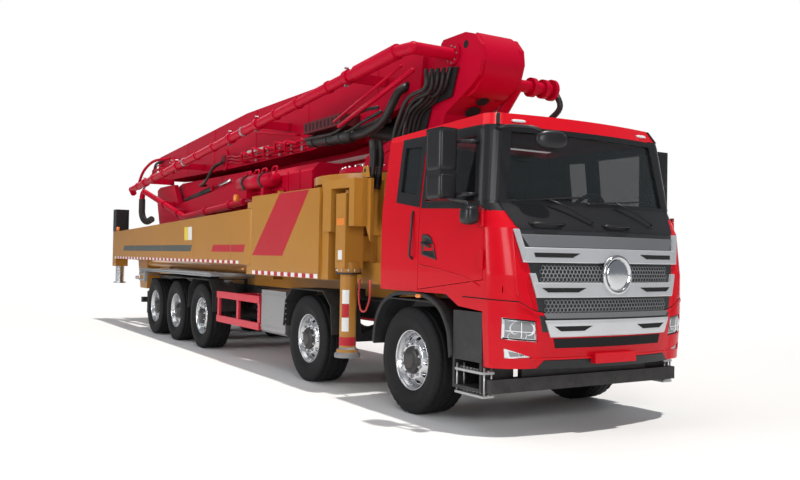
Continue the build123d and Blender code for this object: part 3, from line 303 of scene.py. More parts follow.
def skin(name, points, finish, body, around=False, closed=False, smooth=True, marks=None):
    """Piece of quads over a grid of points, shape (rows, columns, 3).

    Row i joins row i + 1, and column j joins column j + 1; around also joins the last column to the
    first, and closed the last row to the first. marks holds a finish number for each quad.
    """
    rows, columns = points.shape[:2]
    i, j = np.meshgrid(np.arange(rows - 1 + closed), np.arange(columns - 1 + around), indexing="ij")
    i2, j2 = (i + 1) % rows, (j + 1) % columns
    quads = np.stack([i * columns + j, i * columns + j2, i2 * columns + j2, i2 * columns + j], -1).reshape(-1, 4)
    return plain_mesh(name, points, quads.tolist(), finish, body, smooth, marks)


def face_outwards(piece):
    """Merges doubled points and turns every face of the piece to point out."""
    work = bmesh.new()
    work.from_mesh(piece.data)
    bmesh.ops.remove_doubles(work, verts=work.verts, dist=1e-5)
    bmesh.ops.recalc_face_normals(work, faces=work.faces)
    work.to_mesh(piece.data)
    work.free()
    return piece


tyre_rubber = paint("tyre_rubber", (0.007, 0.007, 0.008), 0.66, 0.08, 0.9, grain=22.0, relief=0.003,
                    film_colour=(0.085, 0.078, 0.07), shine=0.2)
tyre_out = 0.536
groove_depth, sipe_depth = 0.011, 0.008
both_sides = (("left", 1), ("right", -1))
groove_edges = (0.655, 0.595, 0.25, 0.195)
# (radius, share of the half width) from the bead up the wall, and half the tread
wall_line = np.array([(0.300, 0.74), (0.312, 0.80), (0.335, 0.86), (0.365, 0.95), (0.400, 0.995), (0.440, 1.0),
                      (0.446, 0.985), (0.475, 0.985), (0.503, 0.955), (0.522, 0.90), (0.532, 0.86)])
tread_shares = np.array([0.80, 0.74, 0.66, 0.655, 0.595, 0.59, 0.45, 0.30, 0.255, 0.25, 0.195, 0.19, 0.10])


def tyre_points(width):
    """Tyre section turned about its axle: (radius cos t, offset, radius sin t) for t round the wheel.

    Grooves are a drop of 11 mm between shares 0.655-0.595 and 0.25-0.195 of the half width, shifted
    sideways by a triangle wave of t; shoulder sipes drop 8 mm for one step in every four.
    """
    steps = 168
    line = np.concatenate([wall_line, np.stack([np.full_like(tread_shares, tyre_out), tread_shares], 1)])
    line = np.concatenate([line, [(tyre_out, 0.0)], line[::-1] * (1, -1)])
    radius, share = line[:, 0], line[:, 1]
    radius = np.where(np.isin(np.round(abs(share), 4), groove_edges), radius - groove_depth, radius)
    t = np.linspace(0, 2 * np.pi, steps, endpoint=False)
    step = np.arange(steps)
    shoulder = (abs(share) >= 0.74) & (abs(share) <= 0.90) & (line[:, 0] > 0.52)
    sipe = ((step % 4 == 0)[:, None] & shoulder[None, :]) * sipe_depth
    shift = (abs((step % 8) - 4) - 2)[:, None] * 0.0012 * (abs(share) < 0.7)[None, :]
    r = radius[None, :] - sipe
    y = share[None, :] * width / 2 + shift
    return np.stack([r * np.cos(t)[:, None], y, r * np.sin(t)[:, None]], -1)


# ------------------------------------------------------------------ wheels
# Pressed steel discs welded into 22.5 inch rims, in silver paint, ten hand holes and ten nuts on
# each; the outer face bulges on single wheels and sits deep in the rim on twins.
disc_silver = paint("disc_silver", (0.62, 0.63, 0.65), 0.22, 0.16, 1.0, metal=0.85, grain=16.0)
hub_dark = paint("hub_dark", (0.022, 0.022, 0.024), 0.4, 0.16, 1.0)
# matt near-black: painted shade where it fills holes and slots, and black rubber on the roof caps
hole_black = paint("hole_black", (0.008, 0.008, 0.008), 0.9, 0.0)
outer_face = 1.240
single_width, twin_width = 0.385, 0.300
hole_count, hole_ring, hole_radius = 10, 0.222, 0.026
nut_count, nut_ring = 10, 0.1675
# (radius, depth in from the tyre's outer face)
single_disc = ((0.301, 0.050), (0.304, 0.044), (0.301, 0.038), (0.294, 0.040), (0.289, 0.052), (0.284, 0.075),
               (0.272, 0.085), (0.266, 0.115), (0.262, 0.150), (0.257, 0.150), (0.254, 0.118), (0.250, 0.105),
               (0.243, 0.096), (0.236, 0.089), (0.228, 0.081), (0.220, 0.074), (0.212, 0.067), (0.204, 0.061),
               (0.197, 0.056), (0.190, 0.052), (0.182, 0.050), (0.176, 0.049), (0.145, 0.049), (0.140, 0.052),
               (0.135, 0.052), (0.132, 0.030), (0.126, 0.024), (0.090, 0.022), (0.086, 0.012), (0.078, 0.006),
               (0.040, 0.004), (0.0005, 0.004))
twin_disc = ((0.301, 0.040), (0.304, 0.034), (0.301, 0.028), (0.294, 0.030), (0.289, 0.042), (0.284, 0.060),
             (0.276, 0.070), (0.272, 0.110), (0.270, 0.150), (0.262, 0.166), (0.254, 0.166), (0.247, 0.160),
             (0.240, 0.158), (0.232, 0.157), (0.224, 0.156), (0.216, 0.155), (0.208, 0.154), (0.200, 0.154),
             (0.193, 0.154), (0.186, 0.154), (0.180, 0.154), (0.150, 0.154), (0.141, 0.150), (0.138, 0.120),
             (0.136, 0.070), (0.130, 0.062), (0.100, 0.058), (0.092, 0.040), (0.086, 0.034), (0.040, 0.032),
             (0.0005, 0.032))
for number, x in ((1, first_axle), (2, 3.255), (3, -0.875), (4, -2.285), (5, -3.635)):
    for side, sign in both_sides:
        body = f"wheel_{number}_{side}"
        twin = number > 3
        width = twin_width if twin else single_width
        middles = (outer_face - width / 2, outer_face - 0.490) if twin else (outer_face - width / 2,)
        for place, middle in zip(("outer", "inner"), middles):
            points = tyre_points(width) + (x, sign * middle, tyre_out)
            face_outwards(skin(f"tyre_{number}_{side}_{place}", points, tyre_rubber, body, closed=True))
        line = np.array(twin_disc if twin else single_disc)
        turn = np.linspace(0, 2 * np.pi, 160, endpoint=False)[:, None]
        radius, depth = (np.repeat(line[None, :, k], len(turn), 0) for k in (0, 1))
        # hand holes: dips in the disc wherever a point is within the hole's radius of its middle, their faces painted
        # black as the shade seen through the holes
        pitch = 2 * np.pi / hole_count
        nearest = (turn / pitch + 0.5) % 1 - 0.5
        away = np.hypot(nearest * pitch * hole_ring, radius - hole_ring)
        hole = (away < hole_radius) & (radius > 0.15) & (radius < 0.255)
        depth = depth + hole * 0.055
        points = np.stack([x + radius * np.cos(turn), sign * (outer_face - depth),
                           tyre_out + radius * np.sin(turn)], -1)
        holed = hole | np.roll(hole, -1, 0)
        marks = np.where(holed[:, :-1] & holed[:, 1:], 2, np.where(radius[:, 1:] < 0.139, 1, 0))
        disc = skin(f"disc_{number}_{side}", points, [disc_silver, hub_dark, hole_black], body,
                    closed=True, marks=marks)
        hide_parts(body)
        # the back of the rim, a plain turned barrel and a plate behind the disc: (radius, width place)
        inner_face = middles[-1] - width / 2
        back = np.array([(0.301, inner_face + 0.045), (0.290, inner_face + 0.035), (0.283, inner_face + 0.06),
                         (0.268, 0.5 * (inner_face + outer_face)), (0.262, outer_face - 0.17),
                         (0.20, outer_face - 0.175), (0.10, outer_face - 0.18), (0.047, outer_face - 0.18)])
        points = np.stack([x + back[:, 0] * np.cos(turn), sign * back[:, 1] + 0 * turn,
                           tyre_out + back[:, 0] * np.sin(turn)], -1)
        skin(f"barrel_{number}_{side}", points, hub_dark, body, closed=True)
        # nuts: six-sided caps standing 32 mm off the disc, four layers of corners each
        corner = (np.arange(6) * np.pi / 3)[:, None]
        face = 0.154 if twin else 0.049
        layers = np.array([(0.017, face + 0.002), (0.017, face - 0.020), (0.011, face - 0.030), (0.0004, face - 0.032)])
        nuts, quads = [], []
        for n in range(nut_count):
            angle = n * 2 * np.pi / nut_count + np.pi / 10
            nut_x, nut_z = x + nut_ring * math.cos(angle), tyre_out + nut_ring * math.sin(angle)
            nuts.append(np.stack([nut_x + layers[:, 0] * np.cos(corner),
                                  sign * (outer_face - layers[:, 1]) + 0 * corner,
                                  nut_z + layers[:, 0] * np.sin(corner)], -1))
            for a in range(6):
                b = (a + 1) % 6
                quads += [(n * 24 + a * 4 + c, n * 24 + b * 4 + c, n * 24 + b * 4 + c + 1,
                           n * 24 + a * 4 + c + 1) for c in range(3)]
        face_outwards(plain_mesh(f"nuts_{number}_{side}", np.concatenate(nuts), quads, disc_silver, body))


# ------------------------------------------------------------------ front panel
# A black plastic panel under the windscreen carries three silver-painted bars with slots, and
# honeycomb mesh between them; a plain polished disc in a ring covers the middle.
# (height, half width, where the side ends, corner x and y, nose x) of the cab's outside, all
# from the first axle
cab_levels = np.array([(0.600, 1.200, 1.270, 1.470, 0.850, 1.560), (1.000, 1.222, 1.270, 1.500, 0.860, 1.585),
                       (1.430, 1.225, 1.250, 1.460, 0.960, 1.560), (1.850, 1.222, 1.210, 1.385, 1.000, 1.490),
                       (2.070, 1.215, 1.120, 1.235, 1.060, 1.350), (2.790, 1.130, 1.030, 1.150, 0.955, 1.240),
                       (2.920, 1.070, 0.960, 1.080, 0.900, 1.170)])
cab_rear = -0.600


def through_three(ax, ay, mx, my, bx, by, share):
    """Point at a share of the arc from a through m to b: centre from the chords' bisectors, then equal angles."""
    d = 2 * (ax * (my - by) + mx * (by - ay) + bx * (ay - my))
    aa, mm, bb = ax**2 + ay**2, mx**2 + my**2, bx**2 + by**2
    ox = (aa * (my - by) + mm * (by - ay) + bb * (ay - my)) / d
    oy = (aa * (bx - mx) + mm * (ax - bx) + bb * (mx - ax)) / d
    radius = np.hypot(ax - ox, ay - oy)
    start = np.arctan2(ay - oy, ax - ox)
    end = np.arctan2(by - oy, bx - ox)
    sweep = (end - start + np.pi) % (2 * np.pi) - np.pi
    angle = start + sweep * share
    return ox + radius * np.cos(angle), oy + radius * np.sin(angle)


def cab_skin(s, z, out=0.0):
    """Point on the cab's outside, moved out by a distance, for s along its outline and z up.

    s is 0 at the nose, 1 at the front corner, 2 where the side starts and 3 at the rear wall; negative
    s is the right side. Each level is a bowed front arc, a corner arc and a straight side, and points
    between two levels are on the straight line that joins them.
    """
    s, z, out = np.broadcast_arrays(np.asarray(s, float), np.asarray(z, float), np.asarray(out, float))
    a = abs(s)
    low = np.clip(np.searchsorted(cab_levels[:, 0], z, side="right") - 1, 0, 5)
    mix = (z - cab_levels[low, 0]) / (cab_levels[low + 1, 0] - cab_levels[low, 0])
    points = []
    for row in (low, low + 1):
        _, w, t, cx, cy, n = (cab_levels[row, k] for k in range(6))
        w, t, cx, cy, n = w + out, t + out / 2, cx + out, cy + out / 2, n + out
        fx, fy = through_three(cx, -cy, n, 0 * n, cx, cy, 0.5 + np.clip(a, 0, 1) / 2)
        mx, my = (t + cx) / 2 + (cx - t) * 0.16, (w + cy) / 2 + (w - cy) * 0.16
        ex, ey = through_three(cx, cy, mx, my, t, w, np.clip(a - 1, 0, 1))
        sx = t + (cab_rear - t) * np.clip(a - 2, 0, 1)
        x = np.where(a <= 1, fx, np.where(a <= 2, ex, sx))
        y = np.where(a <= 1, fy, np.where(a <= 2, ey, w))
        points.append((x, y))
    (x0, y0), (x1, y1) = points
    x, y = x0 + (x1 - x0) * mix, y0 + (y1 - y0) * mix
    return np.stack([x + first_axle, np.where(s < 0, -y, y), z], -1)


def s_at(y, z):
    """Outline place whose half width is y at height z, for the front arc and the corner, by table look-up."""
    table = np.linspace(0, 2, 401)
    widths = cab_skin(table, np.full(401, float(z)))[:, 1]
    return float(np.sign(y) * np.interp(abs(y), widths, table))


def front_patch(name, corners, out, thick, finish, columns=28, rows=6):
    """Raised strip on the cab's front: a four-cornered field (y, z) bulged by thick, its rim sunk back to the skin.

    The field is the bilinear mix of its corners; its height over the skin is out plus thick, dropping
    to out - 6 mm over the outermost grid row so that the strip has sides.
    """
    (y0, z0), (y1, z1), (y2, z2), (y3, z3) = corners
    u = np.concatenate([[0, 0, 0.004], np.linspace(0.02, 0.98, columns), [0.996, 1, 1]])
    v = np.concatenate([[0, 0, 0.06], np.linspace(0.2, 0.8, rows), [0.94, 1, 1]])
    uu, vv = np.meshgrid(u, v, indexing="ij")
    y = (1 - vv) * ((1 - uu) * y0 + uu * y1) + vv * ((1 - uu) * y3 + uu * y2)
    z = (1 - vv) * ((1 - uu) * z0 + uu * z1) + vv * ((1 - uu) * z3 + uu * z2)
    s = np.vectorize(s_at)(y, z)
    height = np.full(y.shape, out + thick)
    height[0, :] = height[-1, :] = out - 0.006
    height[:, 0] = height[:, -1] = out - 0.006
    height[1, :] = height[-2, :] = np.minimum(height[1, :], out + thick * 0.7)
    height[:, 1] = height[:, -2] = np.minimum(height[:, 1], out + thick * 0.7)
    return skin(name, cab_skin(s, z, height), finish, "truck", smooth=False)


def mirrored(corners):
    """The same field on the other side of the cab."""
    return tuple((-y, z) for y, z in (corners[1], corners[0], corners[3], corners[2]))


panel_dark = paint("panel_dark", (0.020, 0.021, 0.024), 0.42, 0.06, 2.0, grain=40.0, relief=0.001)
bar_silver = paint("bar_silver", (0.60, 0.61, 0.63), 0.28, 0.12, 1.5, metal=0.55)
bar_shade = paint("bar_shade", (0.17, 0.175, 0.185), 0.38, 0.12, 1.5, metal=0.4)
slot_black = paint("slot_black", (0.006, 0.006, 0.007), 0.8, 0.0)
dress("front_grille", panel_dark)
# upper dark band with its fine cross ribs
front_patch("upper_band", ((-0.90, 1.685), (0.90, 1.685), (0.97, 1.795), (-0.97, 1.795)), 0.004, 0.010, bar_shade)
# silver bars: (name, outer half width, bottom, top), each with a slot both sides of its middle
bar_table = (("upper", 0.955, 1.545, 1.680, 0.955, 0.40), ("middle", 0.850, 1.235, 1.370, 0.900, 0.36),
             ("lower", 0.720, 0.885, 1.035, 0.780, 0.30))
for name, low_half, low, high, high_half, middle in bar_table:
    front_patch(f"bar_{name}", ((-low_half, low), (low_half, low), (high_half, high), (-high_half, high)), 0.006,
                0.022, bar_silver, rows=5)
    third = (high - low) / 3
    slot_field = ((middle + 0.07, low + third * 1.05), (low_half - 0.10, low + third * 1.05),
                  (high_half - 0.09, high - third * 1.05), (middle - 0.02, high - third * 1.05))
    for side, field in (("left", slot_field), ("right", mirrored(slot_field))):
        front_patch(f"slot_{name}_{side}", field, 0.027, 0.004, slot_black, columns=10, rows=3)
front_patch("grey_strip", ((-0.76, 1.050), (0.76, 1.050), (0.79, 1.098), (-0.79, 1.098)), 0.004, 0.014, bar_shade)
front_patch("low_vent", ((-0.66, 0.785), (0.66, 0.785), (0.68, 0.870), (-0.68, 0.870)), 0.002, 0.004, slot_black)
# outer silver posts that tie the bars' ends together
for side, sign in both_sides:
    post = ((0.915, 1.545), (0.975, 1.545), (1.045, 1.84), (0.985, 1.84))
    front_patch(f"post_{side}", post if sign > 0 else mirrored(post), 0.008, 0.016, bar_silver, columns=4, rows=12)
    low_post = ((0.800, 1.235), (0.862, 1.235), (0.925, 1.45), (0.865, 1.45))
    front_patch(f"low_post_{side}", low_post if sign > 0 else mirrored(low_post), 0.008, 0.016, bar_silver,
                columns=4, rows=12)


def honeycomb(name, rows, finish):
    """Six-sided cell rims set on the skin in a triangular grid; each rim is two rings of six points.

    Cell k of a row sits at a spacing of pitch, odd rows shifted by half of it; rows are (z, half width).
    """
    pitch, outer, inner = 0.040, 0.0235, 0.0165
    corner = np.arange(6) * np.pi / 3 + np.pi / 6
    points, quads = [], []
    for n, (z, half) in enumerate(rows):
        for y in np.arange(-half + (n % 2) * pitch / 2, half, pitch):
            base = len(points) * 12
            cell_y = np.concatenate([y + outer * np.cos(corner), y + inner * np.cos(corner)])
            cell_z = np.concatenate([z + outer * np.sin(corner), z + inner * np.sin(corner)])
            s = np.array([s_at(a, b) for a, b in zip(cell_y, cell_z)])
            points.append(cab_skin(s, cell_z, np.concatenate([np.full(6, 0.008), np.full(6, 0.005)])))
            quads += [(base + k, base + (k + 1) % 6, base + 6 + (k + 1) % 6, base + 6 + k) for k in range(6)]
    plain_mesh(name, np.concatenate(points), quads, finish, "truck")


honeycomb("mesh_upper", [(1.395 + 0.0347 * k, 0.80) for k in range(4)], bar_shade)
honeycomb("mesh_lower", [(1.125 + 0.0347 * k, 0.76) for k in range(3)], bar_shade)

# polished ring and plain domed disc: a turned profile facing forward
polished = paint("polished_metal", (0.66, 0.67, 0.69), 0.14, 0.05, 1.0, metal=1.0)
profile = np.array([(0.182, 1.575), (0.184, 1.598), (0.176, 1.608), (0.160, 1.610), (0.150, 1.604), (0.146, 1.592),
                    (0.142, 1.592), (0.135, 1.602), (0.110, 1.609), (0.070, 1.613), (0.030, 1.615), (0.0004, 1.6152)])
turn = np.linspace(0, 2 * np.pi, 72, endpoint=False)[:, None]
points = np.stack([profile[:, 1] + first_axle + 0 * turn, profile[:, 0] * np.sin(turn) + 0.03,
                   1.44 + profile[:, 0] * np.cos(turn)], -1)
face_outwards(skin("front_disc", points, polished, "truck", closed=True))


# ------------------------------------------------------------------ cowl and windscreen surround
# Black plastic between the windscreen and the front panel, running up the posts round the glass
# to the roof, with the black band of the doors' window line behind it.
def skin_field(name, s_line, z_line, out, finish, sink=0.006):
    """Sheet on the cab's skin at places s and heights z, both given as (rows, columns) fields, rim sunk."""
    height = np.full(s_line.shape, out, float)
    height[0, :] = height[-1, :] = out - sink
    height[:, 0] = height[:, -1] = out - sink
    return skin(name, cab_skin(s_line, z_line, height), finish, "truck", smooth=False)


def ruled(a, b, count):
    """Rows from line a to line b, the first and last doubled for the sunk rim."""
    share = np.concatenate([[0], np.linspace(0, 1, count), [1]])[:, None]
    return a[None, :] * (1 - share) + b[None, :] * share


trim_black = paint("trim_black", (0.010, 0.010, 0.012), 0.34, 0.03, 2.0, grain=60.0, relief=0.0008)
# cowl: from the front panel's top up to the glass, its ends rising with the red corner panels
y_line = np.concatenate([[-1.02], np.linspace(-1.02, 1.02, 41), [1.02]])
low_z = np.where(abs(y_line) > 0.99, 1.86, 1.845)
high_z = 2.112 + 0 * y_line
s_low = np.array([s_at(y * 0.985, z) for y, z in zip(y_line, low_z)])
s_high = np.array([s_at(y * 1.06, z) for y, z in zip(y_line, high_z)])
skin_field("cowl", ruled(s_low, s_high, 8), ruled(low_z, high_z, 8), 0.006, trim_black)
# posts: beside the glass round the corner to the door's front edge
for side, sign in both_sides:
    z_line = np.concatenate([[2.095], np.linspace(2.095, 2.80, 15), [2.80]])
    inner = np.array([s_at(1.010 - 0.175 * (z - 2.110), z) for z in z_line]) * sign
    outer = np.full(17, 2.0 * sign) + sign * 0.012
    skin_field(f"post_cover_{side}", ruled(inner, outer, 10), ruled(z_line, z_line, 10), 0.005, trim_black)
# strip over the glass
y_line = np.concatenate([[-0.95], np.linspace(-0.95, 0.95, 31), [0.95]])
s_low = np.array([s_at(y, 2.738) for y in y_line])
s_high = np.array([s_at(y, 2.785) for y in y_line])
skin_field("screen_head", ruled(s_low, s_high, 2), ruled(2.738 + 0 * y_line, 2.785 + 0 * y_line, 2), 0.004, trim_black)


# ------------------------------------------------------------------ wipers and front handles
# Two wipers parked low on the glass, their arms on pivots in the cowl, and two moulded
# grab handles for whoever cleans the glass.
def tube(name, path, radius, finish, body, slot="trim_plastic", sides=12):
    """Round tube along a path of points, closed at its ends.

    At each point a circle stands across the mean of the two directions met there, turned from a
    fixed side vector. radius is one number or one per point.
    """
    path = np.asarray(path, float)
    ahead = np.gradient(path, axis=0)
    ahead /= np.linalg.norm(ahead, axis=1)[:, None]
    spare = np.array([0.0, 0.0, 1.0]) if abs(ahead[:, 2]).max() < 0.95 else np.array([0.0, 1.0, 0.0])
    if abs(ahead @ spare).max() > 0.97:
        spare = np.array([1.0, 0.0, 0.0])
    across = np.cross(ahead, spare)
    across /= np.linalg.norm(across, axis=1)[:, None]
    third = np.cross(across, ahead)
    radius = np.broadcast_to(np.asarray(radius, float), (len(path),))
    path, across, third = (np.concatenate([row[:1], row, row[-1:]]) for row in (path, across, third))
    radius = np.concatenate([[1e-4], radius, [1e-4]])
    angle = np.linspace(0, 2 * np.pi, sides, endpoint=False)
    points = path[:, None, :] + radius[:, None, None] * (np.cos(angle)[None, :, None] * across[:, None, :]
                                                         + np.sin(angle)[None, :, None] * third[:, None, :])
    return skin(name, points, finish, body, around=True)


def rounded_path(corners, radius=0.1, steps=6):
    """Straight runs joined by quadratic curves: the corner is replaced by (1-u)^2 a + 2u(1-u) corner + u^2 b."""
    corners = np.asarray(corners, float)
    path = [corners[0]]
    for a, b, c in zip(corners, corners[1:], corners[2:]):
        back, on = a - b, c - b
        cut = min(radius, 0.45 * np.linalg.norm(back), 0.45 * np.linalg.norm(on))
        start, end = b + back / np.linalg.norm(back) * cut, b + on / np.linalg.norm(on) * cut
        u = np.linspace(0, 1, steps)[:, None]
        path.extend((1 - u)**2 * start + 2 * u * (1 - u) * b + u**2 * end)
    path.append(corners[-1])
    return np.array(path)


for n, (pivot_y, tip_y) in enumerate(((-0.16, -0.60), (0.66, 0.22))):
    arm = [cab_skin(s_at(pivot_y, 1.93), 1.93, 0.02), cab_skin(s_at(pivot_y, 1.93), 1.93, 0.045),
           cab_skin(s_at(0.5 * (pivot_y + tip_y), 2.05), 2.05, 0.055), cab_skin(s_at(tip_y, 2.13), 2.13, 0.03)]
    tube(f"wiper_arm_{n}", rounded_path(arm, 0.05), 0.009, trim_black, "truck")
    y_line = np.linspace(tip_y - 0.36, tip_y + 0.38, 16)
    z_line = 2.127 + 0.03 * (y_line - tip_y) / 0.4
    blade = cab_skin(np.array([s_at(y, z) for y, z in zip(y_line, z_line)]), z_line, 0.012)
    tube(f"wiper_blade_{n}", blade, 0.009, trim_black, "truck", sides=6, slot="trim_plastic")
    y_line = pivot_y - 0.52 + np.linspace(-0.19, 0.19, 9)
    out = np.array([0.0, 0.03, 0.042, 0.045, 0.045, 0.045, 0.042, 0.03, 0.0])
    hold = cab_skin(np.array([s_at(y, 1.895) for y in y_line]), np.full(9, 1.895), out)
    tube(f"front_handle_{n}", hold, 0.013, trim_black, "truck")


# ------------------------------------------------------------------ mirrors
# Tall twin-glass main mirrors on the doors, in black mouldings; a domed kerb mirror hangs under
# the right one, and a front mirror leans out over the windscreen on a bent arm.
def moulding(name, centre, half, finish, body, power=4.0, turned=0.0, rows=20, columns=32):
    """Superellipsoid: x, y, z are half sizes times cos^(2/power) and sin^(2/power) of two angles, turned about z."""
    u = np.linspace(-np.pi / 2, np.pi / 2, rows)[:, None]
    v = np.linspace(0, 2 * np.pi, columns, endpoint=False)[None, :]
    cos_u, sin_u, cos_v, sin_v = (np.sign(w) * abs(w) ** (2 / power)
                                  for w in (np.cos(u), np.sin(u), np.cos(v), np.sin(v)))
    x, y, z = half[0] * cos_u * cos_v, half[1] * cos_u * sin_v, half[2] * sin_u + 0 * v
    c, s = math.cos(turned), math.sin(turned)
    points = np.stack([centre[0] + c * x - s * y, centre[1] + s * x + c * y, centre[2] + z], -1)
    return face_outwards(skin(name, points, finish, body, around=True))


def within_walls(x, y, z):
    """True inside the cab's outer side, which leans in by 0.117 a metre above z 2.05, and ahead of its back."""
    return (abs(y) < 1.204 - 0.117 * (z - 2.05)) & (x > -0.58)


mirror_glass = tinted("mirror_glass", (0.30, 0.33, 0.35), 1.0)
mirror_glass.node_tree.nodes["Principled BSDF"].inputs["Metallic"].default_value = 0.9
for side in ("left", "right"):
    redress(f"door_{side}", trim_black,
            lambda x, y, z: ((abs(y) > 1.245) & (z > 2.05)) | (within_walls(x, y, z) & (z > 2.0)))
redress("cab_shell", trim_black, lambda x, y, z: (z > 2.0) & (z < 2.80) & ((x > 0.95) | within_walls(x, y, z)))
for side, sign in both_sides:
    body = f"door_{side}"
    moulding(f"mirror_head_{side}", (6.440, sign * 1.410, 2.560), (0.127, 0.098, 0.208), trim_black, body, power=7,
             rows=28, columns=48)
    moulding(f"mirror_foot_{side}", (6.440, sign * 1.410, 2.222), (0.127, 0.098, 0.120), trim_black, body, power=7,
             rows=24, columns=48)
    moulding(f"mirror_pane_{side}", (6.318, sign * 1.410, 2.560), (0.008, 0.082, 0.180), mirror_glass, body, power=9)
    moulding(f"mirror_pane_low_{side}", (6.318, sign * 1.410, 2.222), (0.008, 0.082, 0.092), mirror_glass, body,
             power=9)
    for n, (x, root, z) in enumerate(((6.707, 1.20, 2.150), (6.642, 1.13, 2.640))):
        arm = [(x, sign * root, z), (x + 0.012, sign * (root + 0.085), z), (6.515, sign * 1.345, z)]
        tube(f"mirror_arm_{side}_{n}", rounded_path(arm, 0.05), 0.0175, trim_black, body)
kerb = [(6.50, -1.42, 2.13), (6.66, -1.41, 2.09), (6.785, -1.36, 2.07), (6.785, -1.345, 2.00)]
tube("kerb_mirror_arm", rounded_path(kerb, 0.05), 0.014, trim_black, "door_right")
moulding("kerb_mirror", (6.785, -1.34, 1.955), (0.085, 0.07, 0.085), trim_black, "door_right", power=3.2)
lean = [(6.77, -1.045, 2.755), (6.90, -1.02, 2.77), (7.06, -0.84, 2.755), (7.11, -0.74, 2.70)]
tube("front_mirror_arm", rounded_path(lean, 0.1), 0.018, trim_black, "truck")
moulding("front_mirror", (7.115, -0.68, 2.65), (0.05, 0.155, 0.085), trim_black, "truck", power=2.4, turned=-0.25)
moulding("front_mirror_glass", (7.10, -0.68, 2.64), (0.052, 0.135, 0.07), mirror_glass, "truck", power=2.4,
         turned=-0.25)

# ------------------------------------------------------------------ roof lamps and corner caps
# Clear marker lamps let into the roof's front edge, with black rubber caps over its corners.
amber = tinted("amber_lens", (0.75, 0.22, 0.02), 1.0)
clear_lens = tinted("clear_lens", (0.72, 0.74, 0.76), 1.0)
for side, sign in both_sides:
    mid = cab_skin(sign * 0.86, 2.845, 0.004)
    moulding(f"roof_lamp_{side}", mid, (0.02, 0.075, 0.014), clear_lens, "truck", power=3, turned=sign * 0.12)
    z_line = np.concatenate([[2.80], np.linspace(2.80, 2.915, 5), [2.915]])
    s_line = np.linspace(1.28, 1.42, 4)
    s_line = np.concatenate([s_line[:1], s_line, s_line[-1:]]) * sign
    skin_field(f"roof_cap_{side}", np.repeat(s_line[:, None], 7, 1), np.repeat(z_line[None, :], 6, 0), 0.016,
               hole_black, sink=0.02)

# ------------------------------------------------------------------ door furniture
# A black pull handle in a shaped recess on each door, with a pressed crease running forward
# under it.
for side, sign in both_sides:
    body = f"door_{side}"
    y = sign * 1.2265
    outline = np.array([(5.85, 1.60), (6.11, 1.55), (6.07, 1.68), (6.01, 1.77), (5.95, 1.80), (5.86, 1.80)])
    rings = [outline.mean(0) + (outline - outline.mean(0)) * k for k in (1.0, 1.0, 0.9, 0.6, 0.02)]
    lift = (-0.006, 0.006, 0.008, -0.001, -0.001)
    points = np.stack([np.stack([r[:, 0], np.full(6, y + sign * h), r[:, 1]], -1) for r, h in zip(rings, lift)])
    skin(f"handle_recess_{side}", points, trim_black, body, around=True, smooth=False)
    grip = [(5.86, y, 1.72), (5.88, y + sign * 0.026, 1.715), (5.99, y + sign * 0.028, 1.685), (6.02, y, 1.675)]
    tube(f"door_pull_{side}", rounded_path(grip, 0.03), 0.013, trim_black, body)
    crease = [(x, sign * 1.226, z) for x, z in ((5.80, 1.50), (6.20, 1.455), (6.55, 1.405), (6.80, 1.33))]
    tube(f"door_crease_{side}", crease, 0.007, coach_red, body, slot="cab_red", sides=8)

# ------------------------------------------------------------------ lamps in the bumper
# Headlamp and fog lamp units: bright stepped reflectors behind clear lenses in dark bezels, in a red
# bumper with a pressed lip and a black lower edge; black strips on its top seam and the lamps' edges are painted shade
# of the gaps.
reflector = paint("reflector", (0.70, 0.72, 0.74), 0.16, 0.04, 1.0, metal=0.9, grain=60.0, relief=0.004)
dress("headlamps", reflector)
bezel = paint("lamp_bezel", (0.26, 0.27, 0.28), 0.22, 0.04, 1.0, metal=0.7)
bezel_out = -0.0165
bezel_field = ((0.868, 0.868), (1.132, 0.886), (1.136, 1.040), (0.884, 1.016))
for side, corners in (("left", bezel_field), ("right", mirrored(bezel_field))):
    front_patch(f"lamp_bezel_{side}", corners, bezel_out, 0.002, bezel)
# near-black for painted shade in gaps: the strip along the bumper's top seam and the lamps' top and bottom edges
gap_shade_black = paint("gap_shade_black", (0.006, 0.006, 0.006), 0.9, 0.0)
front_patch("bumper_lower_lip", ((-0.84, 0.602), (0.84, 0.602), (0.76, 0.680), (-0.76, 0.680)), 0.001, 0.004,
            trim_black)
front_patch("bumper_lower_edge", ((-0.90, 0.684), (0.90, 0.684), (0.89, 0.700), (-0.89, 0.700)), 0.002, 0.012,
            coach_red)
lamp_lines = (((0.850, 0.848), (1.142, 0.872), (1.142, 0.884), (0.850, 0.860)),
              ((0.866, 1.020), (1.146, 1.044), (1.146, 1.056), (0.866, 1.032)),
              ((0.900, 0.925), (1.128, 0.940), (1.128, 0.947), (0.900, 0.932)),
              ((0.996, 0.885), (1.003, 0.885), (1.010, 1.025), (1.003, 1.025)))
glint = paint("lamp_glint", (0.85, 0.86, 0.88), 0.1, 0.0, 1.0, metal=0.95)
# lines 0 and 1 paint the shade in the gaps along each lamp's bottom and top edge; 2 and 3 are bright metal
for side, flip in (("left", tuple), ("right", mirrored)):
    for n, corners in enumerate(lamp_lines):
        front_patch(f"lamp_line_{side}_{n}", flip(corners), -0.014, 0.003, gap_shade_black if n < 2 else glint,
                    columns=6, rows=1)
    front_patch(f"fog_bezel_{side}", flip(((0.935, 0.722), (1.085, 0.714), (1.100, 0.768), (1.040, 0.750))),
                bezel_out, 0.002, bezel, columns=6, rows=2)
for side, sign in both_sides:
    z_line = np.linspace(1.24, 1.83, 14)
    ridge = cab_skin(np.linspace(1.30, 1.18, 14) * sign, z_line, -0.006)
    tube(f"corner_ridge_{side}", ridge, 0.014, coach_red, "truck", slot="cab_red")
